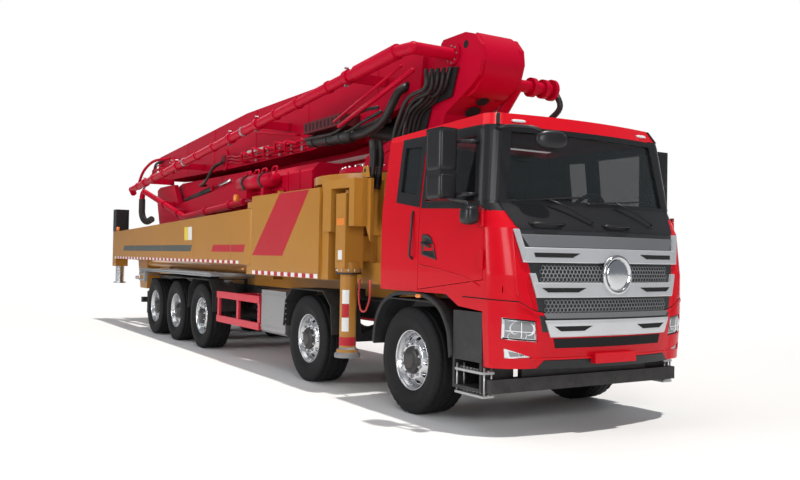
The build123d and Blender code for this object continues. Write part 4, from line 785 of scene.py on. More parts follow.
for side, sign in both_sides:
    s_line = np.concatenate([[0.80], np.linspace(0.80, 2.0, 30), np.linspace(2.04, 2.20, 3), [2.20]])
    z_low = np.interp(s_line, (0.80, 0.98, 1.30, 2.2), (1.085, 1.115, 1.195, 1.215))
    rows = [(s_line * sign, z_low + rise) for rise in (0.0, 0.0, 0.010, 0.010)]
    # a black strip along the bumper's top, painted as the shade in the gap between cab and bumper
    skin_field(f"bumper_seam_shade_{side}", np.stack([r[0] for r in rows]), np.stack([r[1] for r in rows]), 0.0015,
               gap_shade_black)
    rows = [(s_line * sign, z_low - drop) for drop in (0.0, 0.0, 0.012, 0.028, 0.028)]
    skin_field(f"bumper_lip_{side}", np.stack([r[0] for r in rows]), np.stack([r[1] for r in rows]), 0.007,
               coach_red)
# the bowls look outwards by this much
lamp_turn = 0.35
for side, sign in both_sides:
    # (place across, height, radius) of the four headlamp bowls and the fog lamp
    for n, (y, z, r) in enumerate(((0.93, 0.955, 0.055), (1.06, 0.965, 0.052), (0.985, 0.90, 0.03),
                                   (1.09, 0.895, 0.03), (0.99, 0.745, 0.034))):
        base = cab_skin(s_at(sign * y, z), z, -0.022)
        profile = np.array([(r, 0.004), (r * 0.97, 0.010), (r * 0.8, 0.004), (r * 0.5, -0.008), (r * 0.3, 0.002),
                            (0.0005, 0.006)])
        turn = np.linspace(0, 2 * np.pi, 28, endpoint=False)[:, None]
        forward_x, forward_y = math.cos(lamp_turn), sign * math.sin(lamp_turn)
        a, b = profile[:, 0] * np.cos(turn), profile[:, 0] * np.sin(turn)
        points = np.stack([base[0] + profile[:, 1] * forward_x - a * forward_y,
                           base[1] + profile[:, 1] * forward_y + a * forward_x,
                           base[2] + b], -1)
        face_outwards(skin(f"lamp_{side}_{n}", points, clear_lens, "truck", closed=True))


# ------------------------------------------------------------------ colour bands and warning tape
# Paint bands and stuck-on tape: a slanted red band on each tank box, a dark and a red band and two
# blank labels on the swing arms, white and red reflective squares along the lower edges.
def panel(name, corners, thick, finish, body, slot="body_ochre"):
    """Thin plate: four corners in order, moved thick off their plane, with a rim left just under it."""
    a, b, c, d = (np.array(p, float) for p in corners)
    across = np.cross(b - a, d - a)
    across /= np.linalg.norm(across)
    u, v = np.meshgrid((0.0, 0.0, 1.0, 1.0), (0.0, 0.0, 1.0, 1.0), indexing="ij")
    u, v = u[..., None], v[..., None]
    lift = np.full((4, 4, 1), -0.002)
    lift[1:3, 1:3] = thick
    points = (1 - v) * ((1 - u) * a + u * b) + v * ((1 - u) * d + u * c)
    return skin(name, points + lift * across, finish, body, smooth=False)


def side_field(sign, y, outline):
    """Corners (x from the first axle, z) as points on the side plane, ordered to face outwards."""
    corners = [(x + first_axle, sign * y, z) for x, z in outline]
    return corners if sign < 0 else corners[::-1]


def side_box(sign, y, x0, x1, z0, z1):
    """Corners of an upright oblong on the side plane, between two x from the first axle and two heights."""
    return side_field(sign, y, ((x0, z0), (x1, z0), (x1, z1), (x0, z1)))


# how far out paint bands and tape lie on the ochre boxes' sides
box_face, tape_face = 1.2505, 1.2525
band_red = paint("band_red", (0.42, 0.012, 0.024), 0.40, 0.08, 2.2, shine=0.2)
band_dark = paint("band_dark", (0.055, 0.068, 0.060), 0.40, 0.2, 2.2)
label_white = paint("label_white", (0.72, 0.72, 0.70), 0.45, 0.2, 2.2)
label_yellow = paint("label_yellow", (0.72, 0.55, 0.06), 0.45, 0.2, 2.2)


def tape(name, start, length, height, squares, sign, y, body):
    """Reflective tape: squares laid end to end along -x, white and red by turns, each a quad of one strip."""
    x = start - np.linspace(0, length, squares + 1)
    z0, z1 = height
    points = np.stack([np.stack([x + first_axle, np.full_like(x, sign * y), np.full_like(x, z)], -1)
                       for z in (z0, z1)], 1)
    marks = np.arange(squares) % 2
    return skin(name, points[::sign], [label_white, band_red], body, smooth=False, marks=marks)


for side, sign in both_sides:
    box_band = side_field(sign, box_face, ((-4.22, 1.56), (-3.16, 1.56), (-2.36, 2.395), (-3.28, 2.395)))
    panel(f"box_band_{side}", box_band, 0.001, band_red, "truck")
    tape(f"box_tape_{side}", -2.08, 2.12, (1.292, 1.345), 19, sign, tape_face, "truck")
    arm = f"swing_arm_{side}"
    dark_band = side_field(sign, box_face, ((-11.80, 1.605), (-7.05, 1.605), (-6.98, 1.715), (-11.72, 1.715)))
    panel(f"arm_dark_band_{side}", dark_band, 0.001, band_dark, arm)
    red_band = side_field(sign, box_face, ((-5.98, 1.605), (-4.56, 1.605), (-4.50, 1.715), (-5.90, 1.715)))
    panel(f"arm_red_band_{side}", red_band, 0.001, band_red, arm)
    panel(f"arm_label_a_{side}", side_box(sign, box_face, -7.42, -7.22, 1.80, 2.03), 0.001, label_yellow, arm)
    panel(f"arm_label_b_{side}", side_box(sign, box_face, -7.21, -7.00, 1.80, 2.03), 0.001, label_white, arm)
    tape(f"arm_tape_{side}", -4.75, 7.8, (1.430, 1.475), 65, sign, tape_face, arm)

# ------------------------------------------------------------------ front outrigger casings
# Folded 12 mm plate frames round each front leg's upper end, a lifting eye beside them and a
# bolted gland collar where the leg's inner tube comes out.
def slab(name, outline, y0, y1, finish, body, slot="body_ochre"):
    """Plate between two side planes: the outline (x from the first axle, z) on each, joined round its rim."""
    flat = np.array(outline, float)
    count = len(flat)
    points = np.concatenate([np.stack([flat[:, 0] + first_axle, np.full(count, y), flat[:, 1]], -1) for y in (y0, y1)])
    k = np.arange(count)
    rim = np.stack([k, np.roll(k, -1), np.roll(k, -1) + count, k + count], -1)
    faces = [k.tolist(), (k[::-1] + count).tolist(), *rim.tolist()]
    return face_outwards(plain_mesh(name, points, faces, finish, body))


def axes_of(direction):
    """Unit direction and two unit vectors across it, right-handed."""
    ahead = np.array(direction, float) / np.linalg.norm(direction)
    spare = np.array([0, 0, 1.0]) if abs(ahead[2]) < 0.9 else np.array([1.0, 0, 0])
    u = np.cross(spare, ahead)
    u /= np.linalg.norm(u)
    return ahead, u, np.cross(ahead, u)


def collar(name, centre, direction, inner, outer, half, finish, body, slot="frame_black", sides=28):
    """Ring about an axis through the centre (from the first axle): radii inner to outer, height 2 half."""
    ahead, u, v = axes_of(direction)
    turn = np.linspace(0, 2 * np.pi, sides, endpoint=False)[:, None, None]
    r = np.array([inner, outer, outer, inner])[None, :, None]
    h = np.array([-half, -half, half, half])[None, :, None]
    points = np.array(centre) + (first_axle, 0, 0) + r * (np.cos(turn) * u + np.sin(turn) * v) + h * ahead
    return face_outwards(skin(name, points, finish, body, around=True, closed=True, smooth=False))


# inner radius that closes a collar into a disc, but for a pinhole
no_hole = 0.0005


def studs(name, places, direction, size, height, finish, body, sides=6):
    """Heads standing off the places (from the first axle): a low and a high ring of corners each, and a flat top."""
    ahead, u, v = axes_of(direction)
    places = np.asarray(places, float) + (first_axle, 0, 0)
    turn = np.arange(sides) * 2 * np.pi / sides
    ring = size * (np.cos(turn)[:, None] * u + np.sin(turn)[:, None] * v)
    points = np.concatenate([places[:, None] + ring - 0.002 * ahead, places[:, None] + ring + height * ahead], 1)
    k = np.arange(sides)
    walls = np.stack([k, (k + 1) % sides, (k + 1) % sides + sides, k + sides], -1)
    start = np.arange(len(places))[:, None, None] * 2 * sides
    faces = (start + walls).reshape(-1, 4).tolist() + (start[:, :, 0] + k + sides).tolist()
    return plain_mesh(name, points, faces, finish, body)


def line(places, radius, name, finish, body, bend=0.08, **named):
    """Tube through places given from the first axle, with rounded corners."""
    return tube(name, rounded_path(np.array(places, float) + (first_axle, 0, 0), bend), radius, finish, body, **named)


def bolt_circle(centre, radius, count, upright=False, start=0.0):
    """Places evenly round a circle about a centre: level, or upright along the vehicle."""
    turn = np.linspace(0, 2 * np.pi, count, endpoint=False) + start
    a, b, c = radius * np.cos(turn), radius * np.sin(turn), 0 * turn
    return np.array(centre) + np.stack([a, c, b] if upright else [a, b, c], -1)


bolt_steel = paint("bolt_steel", (0.42, 0.43, 0.44), 0.35, 0.3, 2.0, metal=0.8)
foot_grey = paint("foot_grey", (0.20, 0.21, 0.22), 0.5, 0.6, 1.2)
rope_red = paint("rope_red", (0.45, 0.03, 0.03), 0.8, 0.2, 2.0, grain=80.0, relief=0.002)
label_orange = paint("label_orange", (0.70, 0.20, 0.02), 0.45, 0.1, 2.2)
for side, sign, leg_x in (("right", -1, -1.50), ("left", 1, -1.26)):
    y = sign * 1.13
    shift = leg_x + 1.50
    arch = np.array([(-1.94, 2.48), (-1.94, 1.86), (-1.73, 1.86), (-1.73, 2.365), (-1.28, 2.355), (-1.28, 1.915),
                     (-1.16, 1.915), (-1.16, 2.46)]) + (shift, 0)
    slab(f"leg_arch_{side}", arch, sign * 1.02, sign * 1.262, ochre, "truck")
    fin = np.array([(-1.235, 2.47), (-1.205, 2.60), (-1.13, 2.60), (-1.09, 2.47)]) + (shift, 0)
    slab(f"lifting_eye_{side}", fin, sign * 1.10, sign * 1.125, ochre, "truck")
    # the eye's hole is a black disc on the fin, painted as the shade seen through it
    collar(f"eye_hole_{side}", (-1.165 + shift, sign * 1.126, 2.55), (0, 1, 0), no_hole, 0.022, 0.002,
           guard_plastic, "truck", slot="body_ochre")
    if sign < 0:
        slab("front_web_right", [(-1.16, 2.46), (-1.16, 1.90), (-1.07, 1.74), (-1.07, 2.46)], -1.06, -1.10, ochre,
             "truck")
        slab("rear_flange_right", [(-2.065, 2.35), (-2.065, 1.36), (-2.04, 1.36), (-2.04, 2.35)], -1.16, -1.262,
             ochre, "truck")
    leg, jack = f"outrigger_leg_{side}", f"front_jack_{side}"
    collar(f"gland_{side}", (leg_x, y, 1.432), (0, 0, 1), 0.104, 0.142, 0.068, ochre, leg, slot="body_ochre")
    collar(f"gland_lip_{side}", (leg_x, y, 1.372), (0, 0, 1), 0.104, 0.152, 0.010, chassis_black, leg)
    studs(f"gland_bolts_{side}", bolt_circle((leg_x, y, 1.398), 0.145, 12), (0, 0, 1), 0.009, 0.022, bolt_steel, leg)
    panel(f"leg_label_{side}", side_box(sign, 1.2515, leg_x - 0.09, leg_x + 0.09, 1.93, 2.01), 0.001, label_orange, leg)
    panel(f"leg_sign_{side}", side_box(sign, 1.2515, leg_x - 0.05, leg_x + 0.05, 1.53, 1.64), 0.001, label_white, leg)
    collar(f"jack_band_{side}", (leg_x, y, 0.585), (0, 0, 1), 0.0975, 0.0995, 0.05, band_red, jack,
           slot="body_ochre", sides=36)
    angle = np.linspace(-0.45, 0.45, 9)[None, :] + sign * math.radians(48)
    z = np.array([0.70, 0.86, 1.02, 1.18])[:, None]
    points = np.stack([first_axle + leg_x + 0.0996 * np.cos(angle) + 0 * z, y + 0.0996 * np.sin(angle) + 0 * z,
                       z + 0 * angle], -1)
    marks = np.repeat(np.array([0, 1, 0]), 8)
    skin(f"jack_tape_{side}", points, [label_white, band_red], jack, marks=marks)
    profile = ((0.0985, 0.515), (0.13, 0.455), (0.152, 0.44), (0.152, 0.398))
    turn = np.linspace(0, 2 * np.pi, 32, endpoint=False)
    points = np.array([[(first_axle + leg_x + r * math.cos(a), y + r * math.sin(a), z) for a in turn]
                       for r, z in profile])
    face_outwards(skin(f"foot_cone_{side}", points, foot_grey, jack, around=True))
loop = [(-1.22, -1.13, 1.31), (-1.24, -1.14, 1.10), (-1.16, -1.15, 0.95), (-1.05, -1.15, 0.95),
        (-0.97, -1.14, 1.10), (-1.0, -1.13, 1.31)]
line(loop, 0.011, "tow_rope", rope_red, "truck", slot="hose_rubber", sides=8, bend=0.1)

# ------------------------------------------------------------------ turret fittings
# Ring of bearing bolts, access holes in the cheeks and nose as black discs of painted shade, hose bundles
# that cross the first pivot and the ribbed sleeves that bring the hydraulic lines up from the pedestal.
hose_black = paint("hose_black", (0.014, 0.014, 0.015), 0.45, 0.1, 4.0, grain=30.0, relief=0.002)
turret_red = {"finish": crimson, "body": "turret", "slot": "boom_red"}
turret_hose = {"finish": hose_black, "body": "turret", "slot": "hose_rubber"}
truck_hose = {"finish": hose_black, "body": "truck", "slot": "hose_rubber"}
for name, radius, size, height in (("bearing_bolts", 0.845, 0.017, 0.024), ("bearing_inner_bolts", 0.76, 0.012, 0.018)):
    circle = bolt_circle((-2.05, 0, 2.670), radius, 40)
    studs(name, circle[abs(circle[:, 1]) > 0.34], (0, 0, 1), size, height, bolt_steel, "turret")
for side, sign in both_sides:
    y = sign * 0.3005
    # black disc: painted shade of an access hole in the cheek
    collar(f"cheek_hole_{side}", (-0.39, y, 3.955), (0, 1, 0), no_hole, 0.045, 0.002, hole_black, "turret",
           slot="boom_red")
    collar(f"pivot_cap_{side}", (-0.62, sign * 0.318, 3.88), (0, 1, 0), no_hole, 0.125, 0.012, **turret_red)
    studs(f"pivot_bolts_{side}", bolt_circle((-0.62, sign * 0.330, 3.88), 0.095, 8, upright=True), (0, sign, 0),
          0.011, 0.012, bolt_steel, "turret")
    collar(f"barrel_pin_{side}", (-1.08, sign * 0.303, 2.95), (0, 1, 0), no_hole, 0.075, 0.012, **turret_red)
    slab(f"cheek_rib_{side}", [(-2.60, 2.69), (-2.48, 2.86), (-1.72, 3.055), (-1.20, 3.19), (-1.20, 3.15),
                               (-1.70, 3.01), (-2.45, 2.815), (-2.55, 2.69)],
         sign * 0.298, sign * 0.315, **turret_red)
nose = np.array([(-0.43, 3.405), (-0.66, 3.29)])
for n, share in enumerate((0.2, 1.0)):
    x, z = nose[0] + (nose[1] - nose[0]) * share
    # black discs: painted shade of the holes in the turret's nose
    collar(f"nose_hole_{n}", (x + 0.012, 0.0, z - 0.028), (0.44, 0, -0.90), no_hole, 0.075 + 0.02 * n, 0.004,
           hole_black, "turret", slot="boom_red")
for n, y in enumerate((-0.37, -0.43, -0.49, -0.55, -0.61)):
    drop = 0.03 * (n % 2)
    places = [(-0.60 - 0.03 * n, y, 3.73 - 0.01 * n), (-0.70, y, 3.47 - drop), (-1.12, y, 3.44 - drop),
              (-1.40, y, 3.06 - drop), (-1.52, y * 0.9, 2.72)]
    line(places, 0.026, f"pivot_hose_{n}", **turret_hose, sides=10, bend=0.16)
slab("hose_mat", [(-0.66, 3.74), (-0.74, 3.49), (-1.14, 3.47), (-1.56, 2.72), (-1.30, 2.72), (-1.02, 3.36),
                  (-0.62, 3.40), (-0.50, 3.72)], -0.318, -0.332, hole_black,
     "turret", slot="hose_rubber")
for n, y in enumerate((-0.345, -0.40, -0.46, -0.52)):
    line([(-0.74, y, 3.70), (-0.86, y, 3.40), (-1.22, y, 3.30), (-1.34, y, 3.02), (-1.34, y * 0.95, 2.70)], 0.024,
         f"pivot_hose_low_{n}", **turret_hose, sides=10, bend=0.16)
for n, y in enumerate((0.42, 0.50, 0.58)):
    places = [(-0.60 - 0.04 * n, y, 3.74), (-0.66, y, 3.42), (-1.30, y + 0.1, 3.36), (-1.62, y + 0.05, 2.72)]
    line(places, 0.026, f"pivot_hose_left_{n}", **turret_hose, sides=10, bend=0.16)
line([(-0.33, 0.955, 3.57), (-0.22, 0.985, 3.36), (-0.52, 0.94, 3.16), (-1.15, 0.74, 3.13), (-1.62, 0.52, 2.95),
      (-1.80, 0.50, 2.72)], 0.036,
     "elbow_hose", **turret_hose, bend=0.2)
collar("elbow_flange", (-0.33, 0.905, 3.57), (0, 1, 0), no_hole, 0.125, 0.022, **turret_red)
studs("elbow_bolts", bolt_circle((-0.33, 0.927, 3.57), 0.10, 8, upright=True), (0, 1, 0), 0.012, 0.016, bolt_steel,
      "turret")
for n, y in enumerate((-0.93, -1.02)):
    path = rounded_path(np.array([(-1.19, y, 2.90), (-1.15, y, 2.70), (-1.17, y - 0.02, 2.46),
                                  (-1.22, y - 0.01, 2.36)]) + (first_axle, 0, 0), 0.12, 14)
    fine = np.concatenate([np.linspace(a, b, 7, endpoint=False) for a, b in zip(path, path[1:])])
    ribs = 0.040 + 0.006 * np.cos(np.arange(len(fine)) * np.pi)
    tube(f"ribbed_sleeve_{n}", fine, ribs, **truck_hose, sides=14)

# ------------------------------------------------------------------ first arm
# Welded seams, a blank light plate, a grab rail, pipe clamps with bolts, the boom's valve block in
# a dark-red cover whose slots are black panels of painted shade, with hard pipes under it, and hoses at both pivots.
cover_red = paint("cover_red", (0.10, 0.004, 0.010), 0.5, 0.1, 4.0)
arm_red = {"finish": crimson, "body": "arm_1", "slot": "boom_red"}
arm_hose = {"finish": hose_black, "body": "arm_1", "slot": "hose_rubber"}
for side, sign in both_sides:
    y = sign * 0.291
    for n, x in enumerate((-2.35, -4.45, -6.55, -8.70, -10.40)):
        top = np.interp(-x, (1.25, 7.0, 12.5), (4.085, 4.09, 3.80))
        low = np.interp(-x, (1.35, 2.9, 4.3, 7.5, 11.4), (3.52, 3.25, 3.165, 3.165, 3.21))
        panel(f"arm_seam_{side}_{n}", side_box(sign, abs(y), x - 0.008, x + 0.008, low + 0.01, top - 0.01),
              0.004, **arm_red)
    edge = side_field(sign, abs(y), ((-11.3, 3.225), (-4.35, 3.18), (-4.35, 3.205), (-11.3, 3.25)))
    panel(f"arm_edge_{side}_1", edge, 0.006, **arm_red)
panel("arm_plate", side_box(-1, 0.292, -6.98, -6.00, 3.33, 3.41), 0.002, label_white, "arm_1", slot="boom_red")
collar("stay_pivot", (-8.08, -0.30, 3.35), (0, 1, 0), 0.09, 0.20, 0.018, **arm_red)
collar("stay_pin", (-8.08, -0.305, 3.35), (0, 1, 0), no_hole, 0.085, 0.03, cover_red, "arm_1", slot="boom_red")
line([(-4.75, -0.29, 3.44), (-4.75, -0.36, 3.44), (-6.57, -0.36, 3.70), (-6.57, -0.29, 3.70)], 0.014, "arm_rail",
     **arm_red, bend=0.05)
slab("valve_cover", [(-3.96, 3.33), (-3.96, 3.49), (-2.82, 3.49), (-2.82, 3.33)], -0.30, -0.60, cover_red, "arm_1",
     slot="boom_red")
# the cover's slots: black panels painted as the shade inside it
for n in range(9):
    x = -3.90 + 0.118 * n
    panel(f"cover_slot_{n}", side_box(-1, 0.6005, x, x + 0.055, 3.36, 3.46), 0.001, hole_black, "arm_1",
          slot="boom_red")
line([(-3.98, -0.47, 3.235), (-2.70, -0.47, 3.175)], 0.085, "valve_barrel", **arm_hose, sides=20)
for n, x in enumerate((-3.80, -3.35, -2.95)):
    collar(f"valve_barrel_band_{n}", (x, -0.47, 3.235 - 0.047 * (x + 3.98)), (1, 0, -0.047), 0.084, 0.097, 0.02,
           chassis_black, "arm_1", slot="hose_rubber")
line([(-2.70, -0.47, 3.175), (-2.30, -0.47, 3.17), (-1.95, -0.42, 3.28), (-1.66, -0.40, 3.62),
      (-1.62, -0.27, 3.70)], 0.055, "valve_trunk", **arm_hose, sides=16, bend=0.3)
for n, (z, y) in enumerate(((3.28, -0.36), (3.24, -0.44), (3.20, -0.52), (3.26, -0.57))):
    line([(-3.96, y, z), (-3.0, y, z - 0.02), (-2.30, y, z - 0.02 + 0.07 * n), (-1.95, y * 0.9, 3.30 + 0.05 * n)],
         0.022, f"valve_pipe_{n}", **arm_hose, sides=10, bend=0.2)
line([(-2.81, -0.62, 3.30), (-0.98, -0.62, 3.73)], 0.030, "hard_pipe", **arm_red)
line([(-2.85, -0.68, 3.36), (-1.15, -0.68, 3.80)], 0.018, "hard_pipe_thin", **arm_red)
near_front, near_rear = np.array((-0.95, -0.85, 3.905)), np.array((-12.79, -0.85, 3.035))
slope = near_rear - near_front
for n, share in enumerate((0.145, 0.225, 0.29, 0.40, 0.52, 0.60, 0.66, 0.78, 0.84, 0.95)):
    collar(f"pipe_clamp_{n}", near_front + slope * share, slope, 0.0695, 0.084, 0.022,
           bolt_steel if n in (3, 6) else crimson, "arm_1", slot="boom_red")
for n, share in enumerate((0.10, 0.35, 0.45, 0.70, 0.90)):
    centre = near_front + slope * share
    studs(f"coupling_bolts_{n}", [centre + (0.0, 0, 0.110), centre + (0.0, 0, -0.110)], (0, -1, 0), 0.016, 0.05,
          bolt_steel, "arm_1")
for n, x in enumerate((-8.11, -8.20)):
    line([(x, -0.31, 3.32), (x - 0.06, -0.50, 3.22 - 0.05 * n), (x - 0.20, -0.56, 2.98 - 0.05 * n),
          (x - 0.75, -0.50, 2.90), (x - 0.95, -0.32, 2.93)], 0.024,
         f"stay_hose_{n}", **arm_hose, sides=10, bend=0.22)
line([(-12.20, -0.30, 3.70), (-12.72, -0.34, 3.66), (-12.78, -0.36, 3.40), (-12.60, -0.34, 3.20)], 0.030,
     "tail_hose", **arm_hose, bend=0.16)
for n, (x, z) in enumerate(((-12.50, 3.52), (-12.18, 3.58))):
    line([(x, -0.30, z), (x, -0.42, z), (x - 0.16, -0.42, z - 0.02), (x - 0.16, -0.42, z - 0.20),
          (x, -0.42, z - 0.20), (x, -0.30, z - 0.20)], 0.014,
         f"tail_pipe_{n}", **arm_red, sides=8, bend=0.05)

# ------------------------------------------------------------------ folding arms
# Bolted pin caps and welded seams, the fourth arm's stay rod in black paint, and two thin pipes
# along the third arm's outside.
for body, x, z, y, sign, r in (("arm_1", -11.40, 3.52, -0.331, -1, 0.155), ("arm_2", -11.40, 3.52, 0.640, 1, 0.12),
                               ("arm_3", -1.95, 3.32, 0.944, 1, 0.16), ("arm_4", -11.60, 2.76, -0.254, -1, 0.13),
                               ("arm_3", -11.60, 2.76, 0.944, 1, 0.16)):
    collar(f"pin_cap_{body}_{x}_{sign}", (x, y, z), (0, 1, 0), no_hole, r, 0.012, crimson, body, slot="boom_red")
    studs(f"pin_bolts_{body}_{x}_{sign}",
          bolt_circle((x, y + sign * 0.012, z), 0.78 * r, 8, upright=True, start=0.2), (0, sign, 0),
          0.013, 0.014, bolt_steel, body)
line([(-10.62, -0.215, 2.707), (-8.96, -0.215, 2.855)], 0.0635, "fold_stay", hose_black, "arm_4",
     slot="hose_rubber", sides=24)
line([(-8.90, -0.215, 2.860), (-7.90, -0.24, 2.955)], 0.034, "fold_stay_rod", chromed, "arm_4", slot="rod_chrome",
     sides=20)
for body, y, places in (("arm_2", 0.622, (-3.4, -5.6, -7.8, -9.9)), ("arm_3", 0.942, (-3.2, -5.2, -7.4, -9.6))):
    for n, x in enumerate(places):
        if body == "arm_2":
            low = np.interp(-x, (1.95, 7.0, 11.4), (3.11, 3.08, 3.33))
            high = np.interp(-x, (1.95, 7.0, 11.4), (3.50, 3.62, 3.70))
        else:
            low = np.interp(-x, (1.95, 5.9, 11.6), (3.11, 3.02, 2.56))
            high = np.interp(-x, (1.95, 6.5, 11.6), (3.50, 3.42, 2.95))
        panel(f"seam_{body}_{n}", side_box(1, y - 0.001, x - 0.008, x + 0.008, low + 0.02, high - 0.02),
              0.003, crimson, body, slot="boom_red")
line([(-2.6, 0.960, 3.20), (-6.0, 0.960, 3.10), (-11.0, 0.960, 2.70)], 0.016, "arm_3_pipe", crimson, "arm_3",
     slot="boom_red", sides=10, bend=0.3)
line([(-2.6, 0.960, 3.26), (-6.0, 0.960, 3.16), (-11.0, 0.960, 2.76)], 0.016, "arm_3_pipe_b", crimson, "arm_3",
     slot="boom_red", sides=10, bend=0.3)

# ------------------------------------------------------------------ valve cylinder beside the oil tank
# Red accumulator cylinder in two clamp rings, with small pipe loops on top, on the tank's right side.
truck_red = {"finish": crimson, "body": "truck", "slot": "boom_red"}
line([(-5.74, -0.845, 2.700), (-4.42, -0.845, 2.700)], 0.110, "accumulator", **truck_red, sides=28)
for n, x in enumerate((-5.45, -4.75)):
    collar(f"accumulator_clamp_{n}", (x, -0.845, 2.700), (1, 0, 0), 0.109, 0.128, 0.03, chassis_black, "truck")
    slab(f"accumulator_foot_{n}", [(x - 0.05, 2.46), (x - 0.05, 2.60), (x + 0.05, 2.60), (x + 0.05, 2.46)], -0.718,
         -0.90, **truck_red)
for n, x in enumerate((-5.60, -5.25, -4.95, -4.55)):
    line([(x - 0.09, -0.80, 2.79), (x - 0.09, -0.78, 2.90), (x + 0.09, -0.78, 2.90), (x + 0.09, -0.80, 2.79)],
         0.014, f"accumulator_loop_{n}", **truck_red, sides=8, bend=0.06)
for n, z in enumerate((2.55, 2.49, 2.43)):
    line([(-5.72, -0.745 - 0.02 * n, z), (-4.30, -0.745 - 0.02 * n, z), (-4.18, -0.74, z - 0.25),
          (-3.46, -0.74, z - 0.27)], 0.015, f"tank_pipe_{n}", **truck_red, sides=8, bend=0.1)

# ------------------------------------------------------------------ cab sides
# Black window surrounds on the doors and the posts behind them, the wheel arch lip with its amber
# marker, steps under each door, a grab rail, and hoses and a slatted air intake behind the cab.
def side_sheet(name, corners, out, finish, body, sign):
    """Sheet on the cab's flat side between four corners (x from the first axle, z), moved out, rim on the skin."""
    (x0, z0), (x1, z1), (x2, z2), (x3, z3) = corners
    u = np.array([0, 0, 0.5, 1, 1])[:, None]
    v = np.concatenate([[0], np.linspace(0, 1, 6), [1]])[None, :]
    x = (1 - v) * ((1 - u) * x0 + u * x1) + v * ((1 - u) * x3 + u * x2)
    z = (1 - v) * ((1 - u) * z0 + u * z1) + v * ((1 - u) * z3 + u * z2)
    turn = np.interp(z, cab_levels[:, 0], cab_levels[:, 2])
    s = 2 + np.clip((turn - x) / (turn - cab_rear), 0, 1)
    height = np.full(x.shape, out)
    height[0, :] = height[-1, :] = -0.003
    height[:, 0] = height[:, -1] = -0.003
    points = cab_skin(s * sign, z, height)
    return skin(name, points[::-sign], finish, body, smooth=False)


for side, sign in both_sides:
    body = f"door_{side}"
    strips = (("low", ((0.155, 2.060), (1.115, 2.020), (1.044, 2.093), (0.212, 2.128))),
              ("top", ((0.212, 2.702), (0.968, 2.702), (1.02, 2.800), (0.155, 2.800))),
              ("rear", ((0.155, 2.060), (0.216, 2.128), (0.216, 2.702), (0.155, 2.800))),
              ("front", ((1.036, 2.095), (1.112, 2.020), (1.022, 2.800), (0.962, 2.700))))
    for name, corners in strips:
        side_sheet(f"window_{name}_{side}", corners, 0.004, trim_black, body, sign)
    quarter = (("low", ((-0.33, 2.14), (0.125, 2.07), (0.050, 2.200), (-0.258, 2.244))),
               ("top", ((-0.258, 2.704), (0.050, 2.690), (0.125, 2.80), (-0.33, 2.80))),
               ("rear", ((-0.33, 2.14), (-0.258, 2.244), (-0.258, 2.704), (-0.33, 2.80))),
               ("front", ((0.050, 2.200), (0.125, 2.07), (0.125, 2.80), (0.050, 2.690))))
    for name, corners in quarter:
        side_sheet(f"quarter_{name}_{side}", corners, 0.004, trim_black, "truck", sign)
    # wheel arch lip: a swept band round the front wheel's opening
    arch = np.array([(0.735, 0.66), (0.700, 0.90), (0.560, 1.10), (0.330, 1.205), (0.0, 1.225), (-0.330, 1.205),
                     (-0.560, 1.10), (-0.700, 0.90), (-0.735, 0.66)])
    arch = rounded_path(np.stack([arch[:, 0], 0 * arch[:, 0], arch[:, 1]], -1), 0.12, 6)[:, [0, 2]]
    inner = arch * (0.955, 0.975)
    points = np.stack([np.stack([r[:, 0] + first_axle, np.full(len(r), sign * y), r[:, 1]], -1)
                       for r, y in ((inner, 1.150), (inner, 1.236), (arch, 1.243), (arch * (1.012, 1.006), 1.228),
                                    (arch * (1.012, 1.006), 1.150))])
    face_outwards(skin(f"arch_lip_{side}", points, guard_plastic, "truck", closed=True, smooth=False))
    moulding(f"arch_marker_{side}", (5.825, sign * 1.242, 1.190), (0.045, 0.012, 0.018), amber, "truck", power=4)
    for n, z in enumerate((0.33, 0.54)):
        tread = [(0.79, z), (1.22, z), (1.22, z + 0.022), (0.79, z + 0.022)]
        slab(f"step_{side}_{n}", tread, sign * 1.10, sign * 1.225, bolt_steel, "truck", slot="frame_black")
        cleats = np.stack([np.linspace(0.80, 1.21, 9), np.full(9, sign * 1.16), np.full(9, z + 0.027)], -1)
        studs(f"step_cleats_{side}_{n}", cleats, (0, 0, 1), 0.012, 0.006, bolt_steel, "truck", sides=8)
    for n, x in enumerate((0.80, 1.21)):
        for k, y in enumerate((1.125, 1.205)):
            line([(x, sign * y, 0.335), (x, sign * y, 0.60)], 0.010, f"step_side_{side}_{n}_{k}", bolt_steel,
                 "truck", slot="frame_black", sides=8)
    # upright grab rail behind the door
    line([(0.02, sign * 1.21, 1.55), (0.02, sign * 1.262, 1.58), (0.02, sign * 1.232, 2.02),
          (0.02, sign * 1.19, 2.05)], 0.012, f"grab_rail_{side}", trim_black, "truck", sides=10, bend=0.05)
for n, y in enumerate((-0.70, -0.60, -0.50, 0.45, 0.60)):
    line([(-0.63, y, 2.30), (-0.70, y, 2.32), (-0.80, y, 2.05), (-0.78, y * 0.98, 1.60), (-0.86, y * 0.9, 1.22)],
         0.020, f"cab_back_hose_{n}", **truck_hose, sides=10, bend=0.15)
moulding("intake_stack", (4.955, 0.93, 2.15), (0.075, 0.14, 0.62), trim_black, "truck", power=6)
for n in range(12):
    z = 1.78 + 0.08 * n
    panel(f"intake_slat_{n}", [(4.879, 1.02, z), (4.879, 0.84, z), (4.879, 0.84, z + 0.03),
                               (4.879, 1.02, z + 0.03)], 0.006, guard_plastic, "truck", slot="trim_plastic")

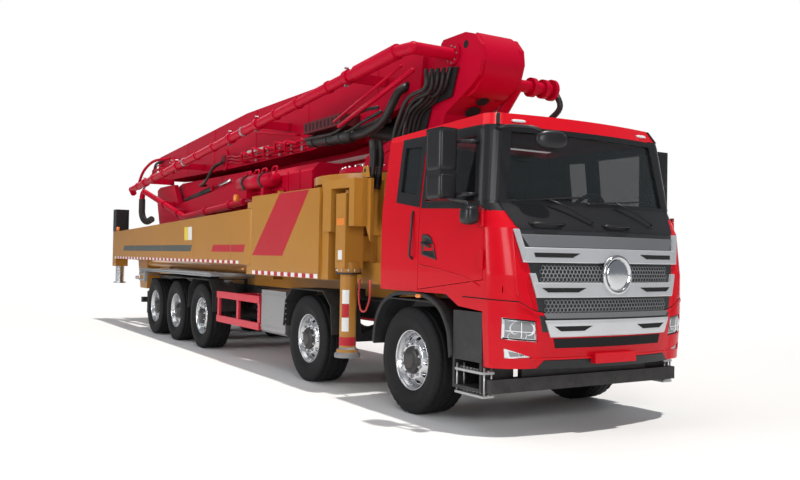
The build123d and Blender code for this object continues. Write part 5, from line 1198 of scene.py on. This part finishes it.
# ------------------------------------------------------------------ tail
# Lamp clusters on the hopper's carrier, amber lamps and black caps on the rear jacks' columns, and
# an amber beacon beside the tank.
red_lens = tinted("red_lens", (0.55, 0.01, 0.01), 1.0)
for side, sign in both_sides:
    arm = f"swing_arm_{side}"
    for n, (y, lens) in enumerate(((0.84, red_lens), (0.94, amber), (1.04, clear_lens))):
        moulding(f"tail_lamp_{side}_{n}", (first_axle - 12.735, sign * (y - 0.34), 0.99), (0.02, 0.042, 0.042),
                 lens, "truck", power=5)
    moulding(f"column_lamp_{side}", (first_axle - 12.60, sign * 1.226, 1.30), (0.045, 0.014, 0.022), amber, arm,
             power=4)
    box = [(-12.932, 2.05), (-12.932, 2.552), (-12.648, 2.552), (-12.648, 2.05)]
    slab(f"column_cap_{side}", box, sign * 0.937, sign * 1.224, trim_black, arm, slot="frame_black")
    moulding(f"column_beacon_{side}", (first_axle - 12.61, sign * 1.19, 2.10), (0.035, 0.035, 0.05), amber, arm,
             power=3)
moulding("tank_beacon", (first_axle - 5.62, -0.98, 2.47), (0.045, 0.045, 0.06), amber, "truck", power=3)

# ------------------------------------------------------------------ deck, tanks and chassis fittings
# Rounded edges of the deck over the rear axles, rivets on the sheet boxes, mud flaps, amber side
# markers, weld seams down the swing arms and hydraulic lines along the frame.
for side, sign in both_sides:
    for n, z in enumerate((1.205, 1.245)):
        line([(-6.12, sign * 1.207, z), (-10.50, sign * 1.207, z)], 0.013, f"deck_edge_{side}_{n}", deck_grey,
             "truck", slot="deck_steel", sides=8)
    rivets = np.array([(x, z) for x in np.linspace(-3.98, -3.02, 9) for z in (0.58, 1.02)]
                      + [(x, z) for x in (-3.98, -3.50, -3.02) for z in np.linspace(0.66, 0.94, 5)])
    studs(f"tank_rivets_{side}", np.stack([rivets[:, 0], np.full(len(rivets), sign * 1.2402), rivets[:, 1]], -1),
          (0, sign, 0), 0.009, 0.004, bolt_steel, "truck",
          sides=8)
    flap = [(-9.94, 0.36), (-9.94, 0.80), (-9.925, 0.80), (-9.925, 0.36)]
    slab(f"mud_flap_{side}", flap, sign * 0.72, sign * 1.20, guard_plastic, "truck", slot="trim_plastic")
    for n, x in enumerate((-4.55, -7.20, -10.9)):
        middle = (first_axle + x, sign * 1.2535, 1.50) if n else (first_axle + x, sign * 1.256, 1.36)
        moulding(f"side_marker_{side}_{n}", middle, (0.035, 0.008, 0.014), amber,
                 f"swing_arm_{side}" if n else "truck", power=4)
    for n, x in enumerate((-5.1, -6.9, -8.8, -10.8)):
        panel(f"arm_weld_{side}_{n}", side_box(sign, box_face, x - 0.007, x + 0.007, 1.49, 1.97), 0.0015, ochre,
              f"swing_arm_{side}")
for n, y in enumerate((-0.44, 0.44)):
    line([(-1.2, y, 1.02), (-4.6, y, 1.02), (-6.0, y, 1.04)], 0.020, f"frame_line_{n}", **truck_hose, sides=10)

# ------------------------------------------------------------------ far side of the boom
# Hydraulic lines in clamps along the third arm's outside and the second arm's top, with flexible
# loops where the arms hinge.
for n in range(4):
    z = 0.055 * n
    line([(-2.45, 0.962, 3.20 + z), (-5.9, 0.962, 3.13 + z), (-8.6, 0.962, 2.93 + z), (-11.2, 0.962, 2.66 + z)],
         0.013, f"far_line_{n}", chassis_black if n > 1 else crimson,
         "arm_3", slot="boom_red", sides=8, bend=0.3)
for n, x in enumerate((-3.1, -4.6, -6.1, -7.6, -9.1, -10.6)):
    base = np.interp(-x, (2.45, 5.9, 8.6, 11.2), (3.20, 3.13, 2.93, 2.66))
    panel(f"far_clamp_{n}", side_box(1, 0.978, x - 0.03, x + 0.03, base - 0.03, base + 0.20), 0.006, bolt_steel,
          "arm_3", slot="boom_red")
for n in range(3):
    line([(-11.25, 0.95, 2.70 + 0.04 * n), (-11.75, 0.965, 2.72 + 0.05 * n), (-12.00 - 0.03 * n, 0.90, 2.95),
          (-11.80, 0.72, 3.12 + 0.03 * n)], 0.022, f"hinge_loop_{n}", hose_black,
         "arm_3", slot="hose_rubber", sides=10, bend=0.2)
for n, x in enumerate((-1.65, -2.1)):
    line([(x, 0.955, 3.26 + 0.05 * n), (-1.52, 0.975, 3.42 + 0.05 * n), (-1.45, 0.80, 3.60), (-1.62, 0.60, 3.58)],
         0.022, f"front_loop_{n}", hose_black, "arm_3",
         slot="hose_rubber", sides=10, bend=0.18)

# ------------------------------------------------------------------ oil tank and pump deck
# Welded ribs, bolted lids, a filler cap and a level glass on the tank, and raised tread bars
# across the walkways behind it.
for n, x in enumerate((-5.35, -4.95, -4.20, -3.80)):
    for side, sign in both_sides:
        panel(f"tank_rib_{side}_{n}", side_box(sign, 0.7205, x - 0.02, x + 0.02, 1.55, 2.80), 0.008, **truck_red)
for n, x in enumerate((-5.1, -4.1)):
    collar(f"tank_lid_{n}", (x, 0.0, 2.885), (0, 0, 1), no_hole, 0.27, 0.008, **truck_red, sides=40)
    studs(f"lid_bolts_{n}", bolt_circle((x, 0.0, 2.892), 0.24, 12), (0, 0, 1), 0.011, 0.010, bolt_steel, "truck")
collar("filler_cap", (-4.6, 0.45, 2.900), (0, 0, 1), no_hole, 0.07, 0.022, hose_black, "truck", slot="trim_plastic")
panel("level_glass", side_box(1, 0.7215, -4.62, -4.56, 2.1, 2.5), 0.010, label_white, "truck", slot="boom_red")
for n in range(22):
    x = -6.25 - 0.19 * n
    for side, sign in both_sides:
        bar = [(first_axle + x, sign * 0.80, 1.2405), (first_axle + x + 0.02, sign * 0.80, 1.2405),
               (first_axle + x + 0.02, sign * 1.16, 1.2405), (first_axle + x, sign * 1.16, 1.2405)]
        panel(f"deck_tread_{side}_{n}", bar[::sign], 0.004, deck_grey, "truck", slot="deck_steel")

# ------------------------------------------------------------------ pipes under the first arm
# Crimson hard lines clipped along its lower edge, loops at the valve group, and bent lines that
# carry the oil round its rear end.
for n in range(3):
    z = 3.205 + 0.055 * n
    line([(-4.30, -0.31, z), (-4.40, -0.34 - 0.03 * n, z), (-7.20, -0.34 - 0.03 * n, z), (-7.60, -0.34, z + 0.06),
          (-7.90, -0.305, z + 0.08)], 0.017,
         f"under_line_{n}", **arm_red, sides=8, bend=0.12)
for n, x in enumerate((-4.75, -5.15, -5.6, -6.1, -6.6)):
    low = 3.20 + 0.03 * (n % 2)
    line([(x - 0.14, -0.33, low), (x - 0.14, -0.48, low - 0.02), (x - 0.05, -0.52, low + 0.14),
          (x + 0.12, -0.50, low + 0.10), (x + 0.14, -0.33, low + 0.06)], 0.020,
         f"valve_loop_{n}", **arm_red, sides=10, bend=0.1)
    panel(f"line_clip_{n}", side_box(-1, 0.36, x + 0.20, x + 0.26, 3.17, 3.36), 0.006, bolt_steel, "arm_1",
          slot="boom_red")
line([(-12.78, -0.72, 3.10), (-12.62, -0.66, 3.45), (-12.20, -0.55, 3.68), (-11.60, -0.33, 3.70)], 0.032,
     "tail_arc", **arm_red, bend=0.3)
line([(-12.80, -0.60, 3.02), (-12.58, -0.52, 3.30), (-12.15, -0.44, 3.50), (-11.60, -0.31, 3.50)], 0.026,
     "tail_arc_low", **arm_red, bend=0.3)

for node, piece in shown.items():
    if not piece.data.materials or piece.data.materials[0] is None or not piece.data.materials[0].use_nodes:
        raise SystemExit(f"no finish on {node}")
